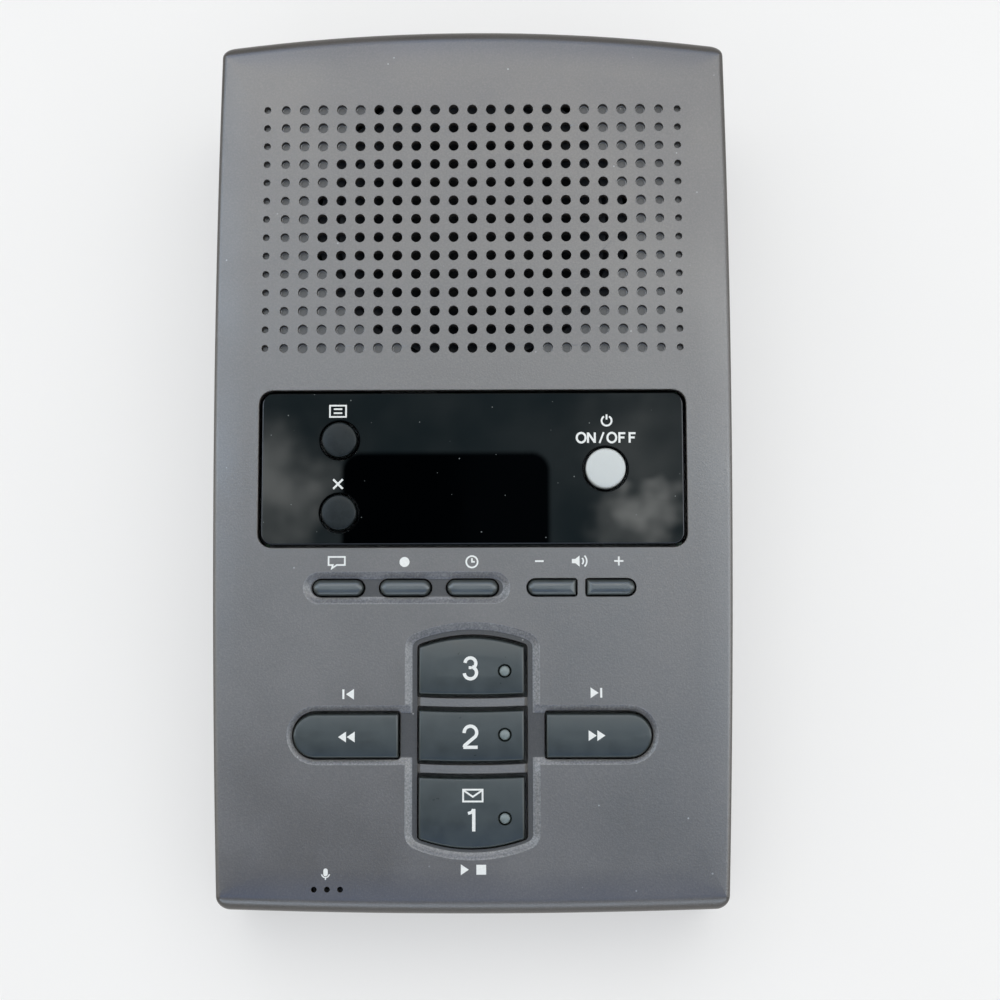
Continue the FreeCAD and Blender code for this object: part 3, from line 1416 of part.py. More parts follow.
# ---------------------------------------------------------------- backup battery and door
def make_battery():
    battery = new_body("backup_battery")
    base = f"({door_top} + battery_gap)"
    profile = sketch_on(battery, "battery_profile", "battery_left_x", plane="YZ_Plane")
    corners = draw_box(profile, "battery_y - battery_width / 2", "battery_y + battery_width / 2",
                       base, f"{base} + battery_height")
    pad(profile, "battery_length - battery_gap")
    long_edges = [(corner.x, corner.y) for corner in corners]

    def along_the_length(edge):
        middle = edge.BoundBox.Center
        return edge.BoundBox.XLength > 5 and any(
            math.hypot(middle.y - y, middle.z - z) < 0.01 for y, z in long_edges)
    round_edges(battery, "battery_edges", "battery_corner", along_the_length)

    snap = new_body("battery_snap")
    cap = sketch_on(snap, "snap_cap", "battery_left_x - snap_gap", plane="YZ_Plane")
    draw_box(cap, "battery_y - snap_half_width", "battery_y + snap_half_width",
             f"{base} + snap_inset", f"{base} + battery_height - snap_inset")
    pad(cap, "snap_thickness - 2 * snap_gap", down=True)


def make_battery_door():
    door = new_body("battery_door")
    plate = sketch_on(door, "door_plate", "foot_height")
    draw_box(plate, door_left, "rear_half_width - door_end_gap", door_front, door_rear)
    pad(plate, "door_thickness - door_play")
    tongues = sketch_on(door, "door_tongues", "foot_height + tongue_level")
    draw_box(tongues, door_left, "rear_half_width - door_end_gap", f"{door_front} - tongue_reach",
             f"{door_rear} + tongue_reach")
    pad(tongues, "tongue_thickness")
    grip = sketch_on(door, "door_grip", "foot_height")
    for step in range(int(value("door_ribs"))):
        left = f"(rear_half_width - door_rib_inset - {step} * door_rib_pitch)"
        draw_box(grip, left, f"{left} + door_rib_pitch / 2", "battery_y - door_rib_half_width",
                 "battery_y + door_rib_half_width")
    pocket(grip, "door_rib_height", up=True)


make_battery()
make_battery_door()


# ---------------------------------------------------------------- ribbon between the boards
def make_ribbon():
    """A flat cable from under the key board's rear edge down to the line board's front edge."""
    ribbon = new_body("board_ribbon")
    upper = (f"({face_middle} + (key_board_rear_y - ribbon_seat) * sin(face_slope)"
             f" + {board_underside} * cos(face_slope) - ribbon_gap - ribbon_thickness / 2)")
    lower = f"({socket_floor} + ribbon_gap + ribbon_thickness / 2)"
    half = "(ribbon_thickness / 2)"
    inner = "(ribbon_bend - ribbon_thickness / 2)"
    outer = "(ribbon_bend + ribbon_thickness / 2)"
    rear_start = "(line_board_front_y + ribbon_seat)"
    front_start = "(key_board_rear_y - ribbon_lap)"
    profile = sketch_on(ribbon, "ribbon_run", "ribbon_x - ribbon_width / 2", plane="YZ_Plane")
    draw_outline(profile, [
        (front_start, f"{upper} - {half}"),
        ("ribbon_y - ribbon_bend", f"{upper} - {half}", inner, True),
        (f"ribbon_y - {half}", f"{upper} - ribbon_bend"),
        (f"ribbon_y - {half}", f"{lower} + ribbon_bend", outer),
        ("ribbon_y + ribbon_bend", f"{lower} - {half}"),
        (rear_start, f"{lower} - {half}"),
        (rear_start, f"{lower} + {half}"),
        ("ribbon_y + ribbon_bend", f"{lower} + {half}", inner, True),
        (f"ribbon_y + {half}", f"{lower} + ribbon_bend"),
        (f"ribbon_y + {half}", f"{upper} - ribbon_bend", outer),
        ("ribbon_y - ribbon_bend", f"{upper} + {half}"),
        (front_start, f"{upper} + {half}"),
    ])
    pad(profile, "ribbon_width")


make_ribbon()


# ---------------------------------------------------------------- screws
def screw_shape(shank, head, head_height, length):
    """A pan-headed screw, head up, its seat at the origin and its shank along -Z."""
    return turned([
        (0, -length),
        (shank / 2, -length),
        (shank / 2, 0),
        (head / 2, 0),
        (head / 2, head_height),
        (0, head_height),
    ], boss_sides)


def make_screws():
    shank = value("board_screw_diameter - screw_fit")
    seat_gap = value("screw_seat_gap")
    board_screw = screw_shape(shank, value("board_screw_head"), value("board_screw_head_height"),
                              value("board_screw_length"))
    face = FreeCAD.Placement(Vector(0, 0, value(face_middle)),
                             FreeCAD.Rotation(Vector(1, 0, 0), value("face_slope")))
    head_down = FreeCAD.Rotation(Vector(1, 0, 0), 180)

    def on_face(places, level, screw):
        copies = []
        for x, y in places:
            copy = screw.copy()
            copy.Placement = face.multiply(FreeCAD.Placement(Vector(value(x), value(y), level), head_down))
            copies.append(copy)
        return copies
    board_level = value(board_underside) - seat_gap
    keep_shape("key_board_screws", Part.makeCompound(on_face(board_boss_places, board_level, board_screw)))

    clamp_level = value(f"{ceiling} - {clamp_post_depth}") - seat_gap
    clamp_screw = screw_shape(shank, value("clamp_washer_width"), value("board_screw_head_height"),
                              value("clamp_screw_length"))
    keep_shape("speaker_screws", Part.makeCompound(on_face(clamp_places, clamp_level, clamp_screw)))

    def upright(places, level, screw, turn):
        copies = []
        for x, y in places:
            copy = screw.copy()
            copy.Placement = FreeCAD.Placement(Vector(value(x), value(y), level), turn)
            copies.append(copy)
        return copies
    case_screw = screw_shape(value("case_screw_diameter - screw_fit"), value("case_screw_head"),
                             value("case_screw_head_height"), value("case_screw_length"))
    case_level = value("case_screw_seat") - seat_gap
    keep_shape("case_screws", Part.makeCompound(upright(case_boss_places, case_level, case_screw, head_down)))

    line_screw = screw_shape(shank, value("board_screw_head"), value("board_screw_head_height"),
                             value("line_screw_length"))
    line_level = value(socket_floor) + seat_gap
    keep_shape("line_board_screws", Part.makeCompound(
        upright(line_post_places, line_level, line_screw, FreeCAD.Rotation())))


make_screws()

# ---------------------------------------------------------------- check and write
doc.recompute()
faults = [item.Name for item in doc.Objects if {"Invalid", "Error"} & set(item.State)]
faults += [item.Label for item in finished if item.Shape.isNull() or not item.Shape.isValid()]
if faults:
    raise RuntimeError("not built: " + ", ".join(faults))
os.makedirs("parts", exist_ok=True)
for item in finished:
    item.Shape.exportStep(os.path.join("parts", item.Label + ".step"))
    print(f"{item.Label}: {len(item.Shape.Solids)} solid(s), {item.Shape.Volume / 1000:.2f} cm3")
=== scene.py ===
import bpy
import math
from mathutils import Matrix, Vector


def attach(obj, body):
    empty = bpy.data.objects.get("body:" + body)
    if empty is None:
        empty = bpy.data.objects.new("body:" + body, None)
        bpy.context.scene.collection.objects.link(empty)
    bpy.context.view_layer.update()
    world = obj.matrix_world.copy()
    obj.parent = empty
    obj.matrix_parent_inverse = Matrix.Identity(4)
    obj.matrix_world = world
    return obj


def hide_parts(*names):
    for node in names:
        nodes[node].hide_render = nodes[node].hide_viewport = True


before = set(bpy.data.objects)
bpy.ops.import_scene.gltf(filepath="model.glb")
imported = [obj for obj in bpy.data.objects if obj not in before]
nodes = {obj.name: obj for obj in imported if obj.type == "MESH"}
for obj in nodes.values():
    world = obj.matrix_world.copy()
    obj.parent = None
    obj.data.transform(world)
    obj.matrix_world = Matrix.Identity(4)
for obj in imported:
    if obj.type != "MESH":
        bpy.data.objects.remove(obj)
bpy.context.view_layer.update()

mm = 0.001
print("frame loaded:", len(nodes), "nodes")

# the sloping face: x, y and level are millimetres in it, and level 0 is its outer surface
face = {
    "slope": 4.0,            # degrees
    "rearHeight": 44.0,
    "halfLength": 93.8,
}
slope = math.radians(face["slope"])
faceMiddle = face["rearHeight"] - face["halfLength"] * math.tan(slope)


def onFace(x, y, level=0.0):
    return Vector((
        x,
        y * math.cos(slope) - level * math.sin(slope),
        faceMiddle + y * math.sin(slope) + level * math.cos(slope),
    )) * mm


def hexColour(code):
    # sRGB hex to linear
    parts = [int(code[i:i + 2], 16) / 255 for i in (1, 3, 5)]
    return tuple(c / 12.92 if c <= 0.04045 else ((c + 0.055) / 1.055) ** 2.4 for c in parts) + (1.0,)


def shade(colour, factor, lift=0.0):
    return tuple(min(1.0, c * factor + lift) for c in colour[:3]) + (1.0,)


def grey(v):
    return (v, v, v, 1.0)


def perMm(size):
    # texture scale for a feature of this size in millimetres
    return 1 / (size * mm)


def addNode(tree, kind, settings=None, links=None):
    # settings: socket or attribute -> value, or "stops" of a colour ramp; links: input -> output socket
    node = tree.nodes.new(kind)
    for key, value in (settings or {}).items():
        if key == "stops":
            ramp = node.color_ramp
            while len(ramp.elements) < len(value):
                ramp.elements.new(1.0)
            for element, (position, colour) in zip(ramp.elements, value):
                element.position = position
                element.color = colour
        elif isinstance(key, int) or key in node.inputs:
            node.inputs[key].default_value = value
        else:
            setattr(node, key, value)
    for key, source in (links or {}).items():
        tree.links.new(source, node.inputs[key])
    return node


def newMaterial(name):
    mat = bpy.data.materials.new(name)
    mat.use_nodes = True
    tree = mat.node_tree
    place = addNode(tree, "ShaderNodeTexCoord").outputs["Object"]
    return mat, tree, tree.nodes["Principled BSDF"], place


def setShader(tree, shader, settings, links):
    # the same two kinds of pairs, for the shader that a material comes with
    for key, value in settings.items():
        shader.inputs[key].default_value = value
    for key, source in links.items():
        tree.links.new(source, shader.inputs[key])


def clouds(tree, place, size, detail=2.0, roughness=0.5):
    # noise whose features are this wide, in millimetres
    settings = {"Scale": perMm(size), "Detail": detail, "Roughness": roughness}
    return addNode(tree, "ShaderNodeTexNoise", settings, {"Vector": place}).outputs


def ramp(tree, source, *stops):
    # stops: (factor, colour)
    return addNode(tree, "ShaderNodeValToRGB", {"stops": stops}, {"Fac": source}).outputs["Color"]


def calculate(tree, operation, first, second=None, kind="ShaderNodeMath"):
    # first and second are output sockets or fixed values
    node = addNode(tree, kind, {"operation": operation})
    for index, value in enumerate((first, second)):
        if isinstance(value, bpy.types.NodeSocket):
            tree.links.new(value, node.inputs[index])
        elif value is not None:
            node.inputs[index].default_value = value
    return node.outputs


def calculateVectors(tree, operation, first, second=None):
    return calculate(tree, operation, first, second, "ShaderNodeVectorMath")


def smooth(obj, angle=35.0):
    for polygon in obj.data.polygons:
        polygon.use_smooth = True
    obj.data.set_sharp_from_angle(angle=math.radians(angle))


def newPiece(name, shape, mat, angle=35.0):
    verts, faces = shape
    mesh = bpy.data.meshes.new(name)
    mesh.from_pydata([tuple(v) for v in verts], [], faces)
    mesh.update()
    obj = bpy.data.objects.new(name, mesh)
    bpy.context.scene.collection.objects.link(obj)
    if mat:
        mesh.materials.append(mat)
    smooth(obj, angle)
    return obj


def loft(rings):
    # a closed solid through rings of equal count
    count = len(rings[0])
    verts = [v for ring in rings for v in ring]
    faces = []
    for r in range(len(rings) - 1):
        for i in range(count):
            j = (i + 1) % count
            faces.append((r * count + i, r * count + j, (r + 1) * count + j, (r + 1) * count + i))
    faces.append(tuple(reversed(range(count))))
    faces.append(tuple(range((len(rings) - 1) * count, len(rings) * count)))
    return verts, faces


def merge(shapes):
    verts, faces = [], []
    for partVerts, partFaces in shapes:
        base = len(verts)
        verts += partVerts
        faces += [tuple(base + i for i in f) for f in partFaces]
    return verts, faces


def circle(x, y, radius, count=24):
    turns = [2 * math.pi * i / count for i in range(count)]
    return [(x + radius * math.cos(t), y + radius * math.sin(t)) for t in turns]


def barOutline(bar, grow=0.0, cornerSteps=6, edgeSteps=10):
    # a bar seen from above: its ends may be half round, its front and rear edges may bow outward
    squareCorner, leastCorner = 0.6, 0.02       # mm
    left, right = bar["left"] - grow, bar["right"] + grow
    front, rear = bar["front"] - grow, bar["rear"] + grow
    half = (rear - front) / 2
    square = max(bar.get("corner", squareCorner) + grow, leastCorner)
    leftRadius = min(half if bar.get("roundLeft") else square, half)
    rightRadius = min(half if bar.get("roundRight") else square, half)
    corners = [
        (left + leftRadius, front + leftRadius, leftRadius, 180),
        (right - rightRadius, front + rightRadius, rightRadius, 270),
        (right - rightRadius, rear - rightRadius, rightRadius, 0),
        (left + leftRadius, rear - leftRadius, leftRadius, 90),
    ]
    arcs = []
    for cx, cy, radius, start in corners:
        turns = [math.radians(start + 90 * step / cornerSteps) for step in range(cornerSteps + 1)]
        arcs.append([(cx + radius * math.cos(t), cy + radius * math.sin(t)) for t in turns])
    points = []
    for arc, following in zip(arcs, arcs[1:] + arcs[:1]):
        points += arc
        (x0, y0), (x1, y1) = arc[-1], following[0]
        points += [(x0 + (x1 - x0) * step / edgeSteps, y0 + (y1 - y0) * step / edgeSteps)
                   for step in range(1, edgeSteps)]
    middle, reach = (bar["left"] + bar["right"]) / 2, (bar["right"] - bar["left"]) / 2
    bowed = []
    for x, y in points:
        across = 1 - min(abs((x - middle) / reach), 1) ** 2
        share = (y - front) / (rear - front)
        bow = bar.get("rearBow", 0) * share - bar.get("frontBow", 0) * (1 - share)
        bowed.append((x, y + across * bow))
    return bowed


def barLoft(bar, profile, sag=None):
    # profile: (grow, level) from low to high; sag(y) lowers what is above level 0
    rings = []
    for grow, level in profile:
        sinks = sag is not None and level > 0
        rings.append([onFace(x, y, level - sag(y) if sinks else level) for x, y in barOutline(bar, grow)])
    return loft(rings)


def roundLoft(x, y, profile, count=24):
    # profile: (radius, level) from low to high
    return loft([[onFace(px, py, level) for px, py in circle(x, y, radius, count)]
                 for radius, level in profile])


def squarePost(x, y, half, low, high):
    corners = [(x - half, y - half), (x + half, y - half), (x + half, y + half), (x - half, y + half)]
    return loft([[onFace(px, py, level) for px, py in corners] for level in (low, high)])


def roundedEdge(outer, top, radius, steps=5):
    # (grow, level) up a wall and over its rounded edge
    turns = [math.radians(90 * s / steps) for s in range(steps + 1)]
    return [(outer - radius * (1 - math.cos(t)), top - radius * (1 - math.sin(t))) for t in turns]


# levels on the face that a hole's cutter runs between, mm
cutterReach = {"low": -4.0, "deep": -4.5, "high": 1.0}


def rimmedHole(width, top, rim, rimDepth, low=cutterReach["low"]):
    # a cutter's profile: straight up, out over the softened rim of the hole, and on clear of the face
    return [(width, low), (width, top - rimDepth), (width + rim, top), (width + rim, cutterReach["high"])]


def cut(obj, shape):
    cutter = newPiece("cutter", shape, None)
    modifier = obj.modifiers.new("cut", "BOOLEAN")
    modifier.operation = "DIFFERENCE"
    modifier.solver = "MANIFOLD"
    modifier.object = cutter
    mesh = bpy.data.meshes.new_from_object(obj.evaluated_get(bpy.context.evaluated_depsgraph_get()))
    for index in reversed(range(len(mesh.materials))):
        if not mesh.materials[index]:
            mesh.materials.pop(index=index)      # the cutter's empty one
    obj.modifiers.clear()
    old = obj.data
    obj.data = mesh
    bpy.data.meshes.remove(old)
    bpy.data.objects.remove(cutter)


def even(obj, angle=35.0):
    # clean shading after the cuts: large flat faces rule the normals
    smooth(obj, angle)
    modifier = obj.modifiers.new("even", "WEIGHTED_NORMAL")
    modifier.keep_sharp = True
    modifier.weight = 90


def paint(obj, finish, chosen):
    # another finish on the chosen faces
    slot = len(obj.data.materials)
    obj.data.materials.append(mats[finish])
    for polygon in obj.data.polygons:
        if chosen(polygon):
            polygon.material_index = slot


def takePlace(obj, node, body):
    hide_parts(node)
    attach(obj, body)


view = {
    "aim": (5.8, -8.8),          # where on the face it looks, mm
    "distance": 398.1,           # mm
    "tilt": 10.52,               # degrees from straight down, towards the front
    "turn": 2.69,                # degrees round the object, to its right
    "roll": -0.077,              # degrees
    "lens": 68.4,                # mm
    "sensor": 36.0,              # mm
}


def makeCamera():
    tilt, turn = math.radians(view["tilt"]), math.radians(view["turn"])
    aim = Vector((view["aim"][0], view["aim"][1], faceMiddle)) * mm
    back = Vector((math.sin(tilt) * math.sin(turn), -math.sin(tilt) * math.cos(turn), math.cos(tilt)))
    across = (-back).cross(Vector((0, 1, 0))).normalized()
    up = across.cross(-back)
    place = Matrix((across, up, back)).transposed().to_4x4()
    place = Matrix.Translation(aim + back * view["distance"] * mm) @ place
    camera = bpy.data.objects.new("camera", bpy.data.cameras.new("camera"))
    camera.data.lens = view["lens"]
    camera.data.sensor_width = view["sensor"]
    camera.data.clip_start = 0.01
    camera.data.clip_end = 20.0
    camera.matrix_world = place @ Matrix.Rotation(math.radians(view["roll"]), 4, "Z")
    bpy.context.scene.collection.objects.link(camera)
    bpy.context.scene.camera = camera


# one soft panel over the rear of the table lights the scene; the cards only add their sheen: those
# above spread it over the face, and the low ones at the sides and the front catch rims and key edges
studio = {
    "lamp": {"place": (0.1, 0.5, 1.1), "size": (1.4, 0.9), "watts": 4.0, "colour": "#fffefa"},
    "cards": {
        "overhead": {"place": (0.1, 0.33, 1.05), "size": (1.2, 0.34), "watts": 6.2, "colour": "#fdfaf5"},
        "rear": {"place": (0.0, 0.72, 1.0), "size": (1.3, 0.4), "watts": 4.8, "colour": "#6ba4f0"},
        "left": {"place": (-0.57, 0.17, 0.92), "size": (0.36, 0.9), "watts": 8.0, "colour": "#c4d8ee"},
        "right": {"place": (0.49, -0.02, 0.93), "size": (0.4, 1.2), "watts": 6.4, "colour": "#c6dcf2"},
        "front": {"place": (0.0, -0.5, 0.88), "size": (1.3, 0.34), "watts": 3.2, "colour": "#5c9cf0"},
        "leftWing": {"place": (-1.0, 0.0, 0.62), "size": (0.5, 1.3), "watts": 6.5, "colour": "#eef3f8"},
        "rightWing": {"place": (1.0, 0.0, 0.62), "size": (0.5, 1.3), "watts": 9.0, "colour": "#f4f6f8"},
        "frontLow": {"place": (0.0, -1.15, 0.5), "size": (1.4, 0.5), "watts": 11.5, "colour": "#cfe0f5"},
    },
    "aim": (0.0, 0.0, 0.03),     # what the panels face, metres as their places and sizes are
    "sky": "#f6f6f6",
    "skyStrength": 0.8,
    "backdrop": "#f2f2f1",
    "floor": "#bcbcbb",
    "glow": 0.4,                 # how bright the table looks by itself; it lights nothing
    "clouds": 60,                # mm, size of the paler patches in its sanding
    "floorHalfSize": 4000,       # mm
    "floorDrop": 0.2,            # mm under the feet
}


def seenRays(tree):
    # 1 for what is looked at, straight, in a reflection or through glass
    path = addNode(tree, "ShaderNodeLightPath")
    seen = path.outputs["Is Camera Ray"]
    for kind in ("Is Glossy Ray", "Is Transmission Ray"):
        seen = calculate(tree, "MAXIMUM", seen, path.outputs[kind])[0]
    return seen


def makeStudio():
    for name, panel in [("lamp", studio["lamp"])] + list(studio["cards"].items()):
        lamp = bpy.data.lights.new(name, "AREA")
        lamp.shape = "RECTANGLE"
        lamp.size, lamp.size_y = panel["size"]
        lamp.energy = panel["watts"]
        lamp.color = hexColour(panel["colour"])[:3]
        obj = bpy.data.objects.new(name, lamp)
        obj.location = panel["place"]
        obj.rotation_euler = (Vector(studio["aim"]) - obj.location).to_track_quat("-Z", "Y").to_euler()
        obj.visible_diffuse = name == "lamp"
        bpy.context.scene.collection.objects.link(obj)

    world = bpy.data.worlds.new("studio")
    bpy.context.scene.world = world
    world.use_nodes = True
    tree = world.node_tree
    tree.nodes.clear()
    sky = addNode(tree, "ShaderNodeBackground",
                  {"Color": hexColour(studio["sky"]), "Strength": studio["skyStrength"]})
    backdrop = addNode(tree, "ShaderNodeBackground",
                       {"Color": hexColour(studio["backdrop"]), "Strength": 1.0})
    both = addNode(tree, "ShaderNodeMixShader", {},
                   {0: seenRays(tree), 1: sky.outputs[0], 2: backdrop.outputs[0]})
    addNode(tree, "ShaderNodeOutputWorld", {}, {"Surface": both.outputs[0]})

    # a product table of sanded opal acrylic, softly lit from below, so that shadows on it stay faint
    mat, tree, shader, place = newMaterial("sanded opal acrylic table")
    base = hexColour(studio["floor"])
    sanding = clouds(tree, place, studio["clouds"])["Fac"]
    tone = ramp(tree, sanding, (0.3, shade(base, 0.975)), (0.7, base))
    glow = calculate(tree, "MULTIPLY", seenRays(tree), studio["glow"])[0]
    setShader(tree, shader, {"Roughness": 0.8, "Emission Color": hexColour("#ffffff")},
              {"Base Color": tone, "Emission Strength": glow})
    size = studio["floorHalfSize"] * mm
    corners = [(-size, -size, 0), (size, -size, 0), (size, size, 0), (-size, size, 0)]
    floor = newPiece("floor", (corners, [(0, 1, 2, 3)]), mat)
    floor.location.z = -studio["floorDrop"] * mm
    bpy.context.scene.view_settings.view_transform = "Standard"


makeCamera()
makeStudio()
print("camera and studio ready")


dustLook = {
    "core": 0.05,            # radius of a speck and of its soft rim, as shares of the spacing
    "rim": 0.08,
    "patch": 1.7,            # size of a dusty patch, in spacings
    "fade": 0.06,
}


def dustOn(tree, place, colour, spacing, amount, under):
    # settled dust: specks a few tenths of a millimetre wide, in a few patches; spacing is in millimetres,
    # and amount is how much of the surface has them
    d = dustLook
    cells = addNode(tree, "ShaderNodeTexVoronoi", {"Scale": perMm(spacing), "Randomness": 1.0},
                    {"Vector": place})
    speck = ramp(tree, cells.outputs["Distance"],
                 (0.0, grey(1.0)), (d["core"], grey(1.0)), (d["rim"], grey(0.0)))
    patches = clouds(tree, place, spacing * d["patch"], 0.0)["Fac"]
    few = ramp(tree, patches, (1 - amount, grey(0.0)), (1 + d["fade"] - amount, grey(1.0)))
    dusty = calculate(tree, "MULTIPLY", speck, few)[0]
    return addNode(tree, "ShaderNodeMix", {"data_type": "RGBA", 7: hexColour(colour)},
                   {0: dusty, 6: under}).outputs[2]


eroded = {
    "grit": 0.38,            # mm
    "use": 24,               # mm, size of the patches that hands wear paler or darker
    "relief": 0.05,          # mm
    "dust": "#7b7c7b",
    "dustSpacing": 2.9,      # mm
    "dustAmount": 0.35,
    "ior": 1.54,
}


def sparkErodedAbs(name, colour, roughness, grit=eroded["grit"], bump=0.5, pits=0.82, level=0.5):
    # moulded ABS whose tool was spark eroded: an even sandy grain that breaks up every highlight
    # the real grit is about 0.1 mm, drawn nearly four times as coarse so that it shows
    mat, tree, shader, place = newMaterial(name)
    grain = clouds(tree, place, grit, 3.0, 0.6)["Fac"]
    handled = clouds(tree, place, eroded["use"], 4.0, 0.55)["Fac"]
    base = hexColour(colour)
    tone = ramp(tree, handled, (0.32, shade(base, 0.9)), (0.5, base), (0.7, shade(base, 1.1, 0.002)))
    # the pits of the grain are darker, and its tips paler by a little more than that
    speck = ramp(tree, grain, (0.34, grey(pits)), (0.52, grey(1.0)), (0.7, grey(2.1 - pits)))
    mixed = addNode(tree, "ShaderNodeMix", {"data_type": "RGBA", "blend_type": "MULTIPLY", 0: 1.0},
                    {6: tone, 7: speck})
    shine = ramp(tree, handled, (0.3, grey(roughness - 0.05)), (0.7, grey(roughness + 0.07)))
    relief = addNode(tree, "ShaderNodeBump", {"Strength": bump, "Distance": eroded["relief"] * mm},
                     {"Height": grain})
    dusty = dustOn(tree, place, eroded["dust"], eroded["dustSpacing"], eroded["dustAmount"], mixed.outputs[2])
    setShader(tree, shader, {"IOR": eroded["ior"], "Specular IOR Level": level},
              {"Base Color": dusty, "Roughness": shine, "Normal": relief.outputs["Normal"]})
    return mat


fingered = {
    "smear": 5,              # mm
    "grain": 0.3,            # mm, the real one is finer: drawn as coarse as shows
    "bump": 0.12,
    "relief": 0.03,          # mm
    "ior": 1.54,
}


def fingeredAbs(name, colour, roughness, lift=1.2, level=0.5):
    # moulded ABS from a fine tool, rubbed smooth by fingers: satin, with faint smears
    mat, tree, shader, place = newMaterial(name)
    smear = clouds(tree, place, fingered["smear"], 4.0, 0.6)["Fac"]
    grain = clouds(tree, place, fingered["grain"])["Fac"]
    base = hexColour(colour)
    tone = ramp(tree, smear, (0.35, base), (0.75, shade(base, lift, 0.003)))
    shine = ramp(tree, smear, (0.3, grey(roughness - 0.06)), (0.7, grey(roughness + 0.08)))
    relief = addNode(tree, "ShaderNodeBump",
                     {"Strength": fingered["bump"], "Distance": fingered["relief"] * mm}, {"Height": grain})
    setShader(tree, shader, {"IOR": fingered["ior"], "Specular IOR Level": level},
              {"Base Color": tone, "Roughness": shine, "Normal": relief.outputs["Normal"]})
    return mat


# where the lens's back print is left clear over the dark well of the display, mm in plan
displayWindow = {
    "middle": (-5.6, -15.0),
    "half": (22.4, 17.0),
    "corner": 4.5,
    "soft": 1.3,             # how far in the print's edge fades
    "bleed": 0.2,            # and how far out
}

# a painted reflection of pale clouds on the lens, and the lens's dust, mm in plan
lensReflectionAndDust = {
    "streaks": 15,           # size of its clouds
    "swirl": 11,             # size of the waves in the spots' outlines
    "wander": 22,            # how far these shift the outlines, from the one side to the other
    "spots": (
        # middle, reach, how much
        ((-44.0, -6.0), (18.0, 18.0), 0.38),
        ((40.0, -8.3), (10.0, 8.0), 0.85),
        ((35.0, -12.5), (12.0, 9.0), 0.35),
        ((38.0, 4.0), (24.0, 20.0), 0.1),
    ),
    "dust": "#7d8486",
    "dustSpacing": 1.9,
    "dustAmount": 0.4,
    "ior": 1.49,
}


def smokedAcrylic(name, dark, reflectionColour, well, level):
    # cast acrylic printed dark on its back: mirror smooth, with a painted reflection of pale clouds at both
    # ends, with settled dust, and black where the print leaves a window
    mat, tree, shader, place = newMaterial(name)
    reflectionClouds = clouds(tree, place, lensReflectionAndDust["streaks"], 2.0, 0.45)["Fac"]
    cloud = addNode(tree, "ShaderNodeMapRange",
                    {"From Min": 0.36, "From Max": 0.7, "To Min": 0.45, "To Max": 1.15}, {"Value": reflectionClouds})
    # the noise is about a half in each direction, so half of the wander is added to the spots' places
    swirl = addNode(tree, "ShaderNodeVectorMath", {"operation": "SCALE", "Scale": lensReflectionAndDust["wander"] * mm},
                    {0: clouds(tree, place, lensReflectionAndDust["swirl"])["Color"]})
    wander = calculateVectors(tree, "ADD", place, swirl.outputs[0])[0]
    half = lensReflectionAndDust["wander"] / 2
    spots = []
    for (x, y), reach, amount in lensReflectionAndDust["spots"]:
        offset = calculateVectors(tree, "SUBTRACT", wander, ((x + half) * mm, (y + half) * mm, 0.0))[0]
        offset = calculateVectors(tree, "MULTIPLY", offset, (perMm(reach[0]), perMm(reach[1]), 0.0))[0]
        far = calculateVectors(tree, "LENGTH", offset)["Value"]
        spots.append(addNode(tree, "ShaderNodeMapRange",
                             {"interpolation_type": "SMOOTHSTEP", "From Min": 0.1, "From Max": 1.0,
                              "To Min": amount, "To Max": 0.01}, {"Value": far}).outputs[0])
    together = spots[0]
    for spot in spots[1:]:
        together = calculate(tree, "ADD", together, spot)[0]
    reflectionShare = calculate(tree, "MULTIPLY", cloud.outputs[0], together)[0]
    # the dark print with the painted reflection of clouds mixed into its colour
    printed = addNode(tree, "ShaderNodeMix", {"data_type": "RGBA", 6: hexColour(dark), 7: hexColour(reflectionColour)},
                      {0: reflectionShare})
    # distance from a rectangle with round corners
    w = displayWindow
    core = [(h - w["corner"]) * mm for h in w["half"]] + [1.0]
    offset = calculateVectors(tree, "SUBTRACT", place, (w["middle"][0] * mm, w["middle"][1] * mm, 0.0))[0]
    offset = calculateVectors(tree, "ABSOLUTE", offset)[0]
    offset = calculateVectors(tree, "SUBTRACT", offset, core)[0]
    offset = calculateVectors(tree, "MAXIMUM", offset, (0.0, 0.0, 0.0))[0]
    away = calculateVectors(tree, "LENGTH", offset)["Value"]
    solid = addNode(tree, "ShaderNodeMapRange",
                    {"interpolation_type": "SMOOTHSTEP", "From Min": (w["corner"] - w["soft"]) * mm,
                     "From Max": (w["corner"] + w["bleed"]) * mm}, {"Value": away})
    seen = addNode(tree, "ShaderNodeMix", {"data_type": "RGBA", 6: hexColour(well)},
                   {0: solid.outputs[0], 7: printed.outputs[2]})
    shine = ramp(tree, reflectionClouds, (0.35, grey(0.04)), (0.75, grey(0.14)))
    dusty = dustOn(tree, place, lensReflectionAndDust["dust"], lensReflectionAndDust["dustSpacing"], lensReflectionAndDust["dustAmount"],
                   seen.outputs[2])
    setShader(tree, shader, {"IOR": lensReflectionAndDust["ior"], "Specular IOR Level": level},
              {"Base Color": dusty, "Roughness": shine})
    return mat


def mottled(name, colour, roughness, grain, spread=0.12, ior=1.5, metallic=0.0, bump=0.0):
    # small parts: their one colour varies a little over the size of their grain, in millimetres
    mat, tree, shader, place = newMaterial(name)
    cloud = clouds(tree, place, grain, 3.0)["Fac"]
    base = hexColour(colour)
    tone = ramp(tree, cloud, (0.3, shade(base, 1 - spread)), (0.7, shade(base, 1 + spread)))
    shine = ramp(tree, cloud, (0.3, grey(max(roughness - 0.07, 0.04))),
                 (0.7, grey(min(roughness + 0.08, 1.0))))
    setShader(tree, shader, {"Metallic": metallic} if metallic else {"IOR": ior},
              {"Base Color": tone, "Roughness": shine})
    if bump:
        # its bumps are as wide as the grain and a twentieth of a millimetre high
        relief = addNode(tree, "ShaderNodeBump", {"Strength": bump, "Distance": 0.05 * mm},
                         {"Height": cloud})
        tree.links.new(relief.outputs["Normal"], shader.inputs["Normal"])
    return mat


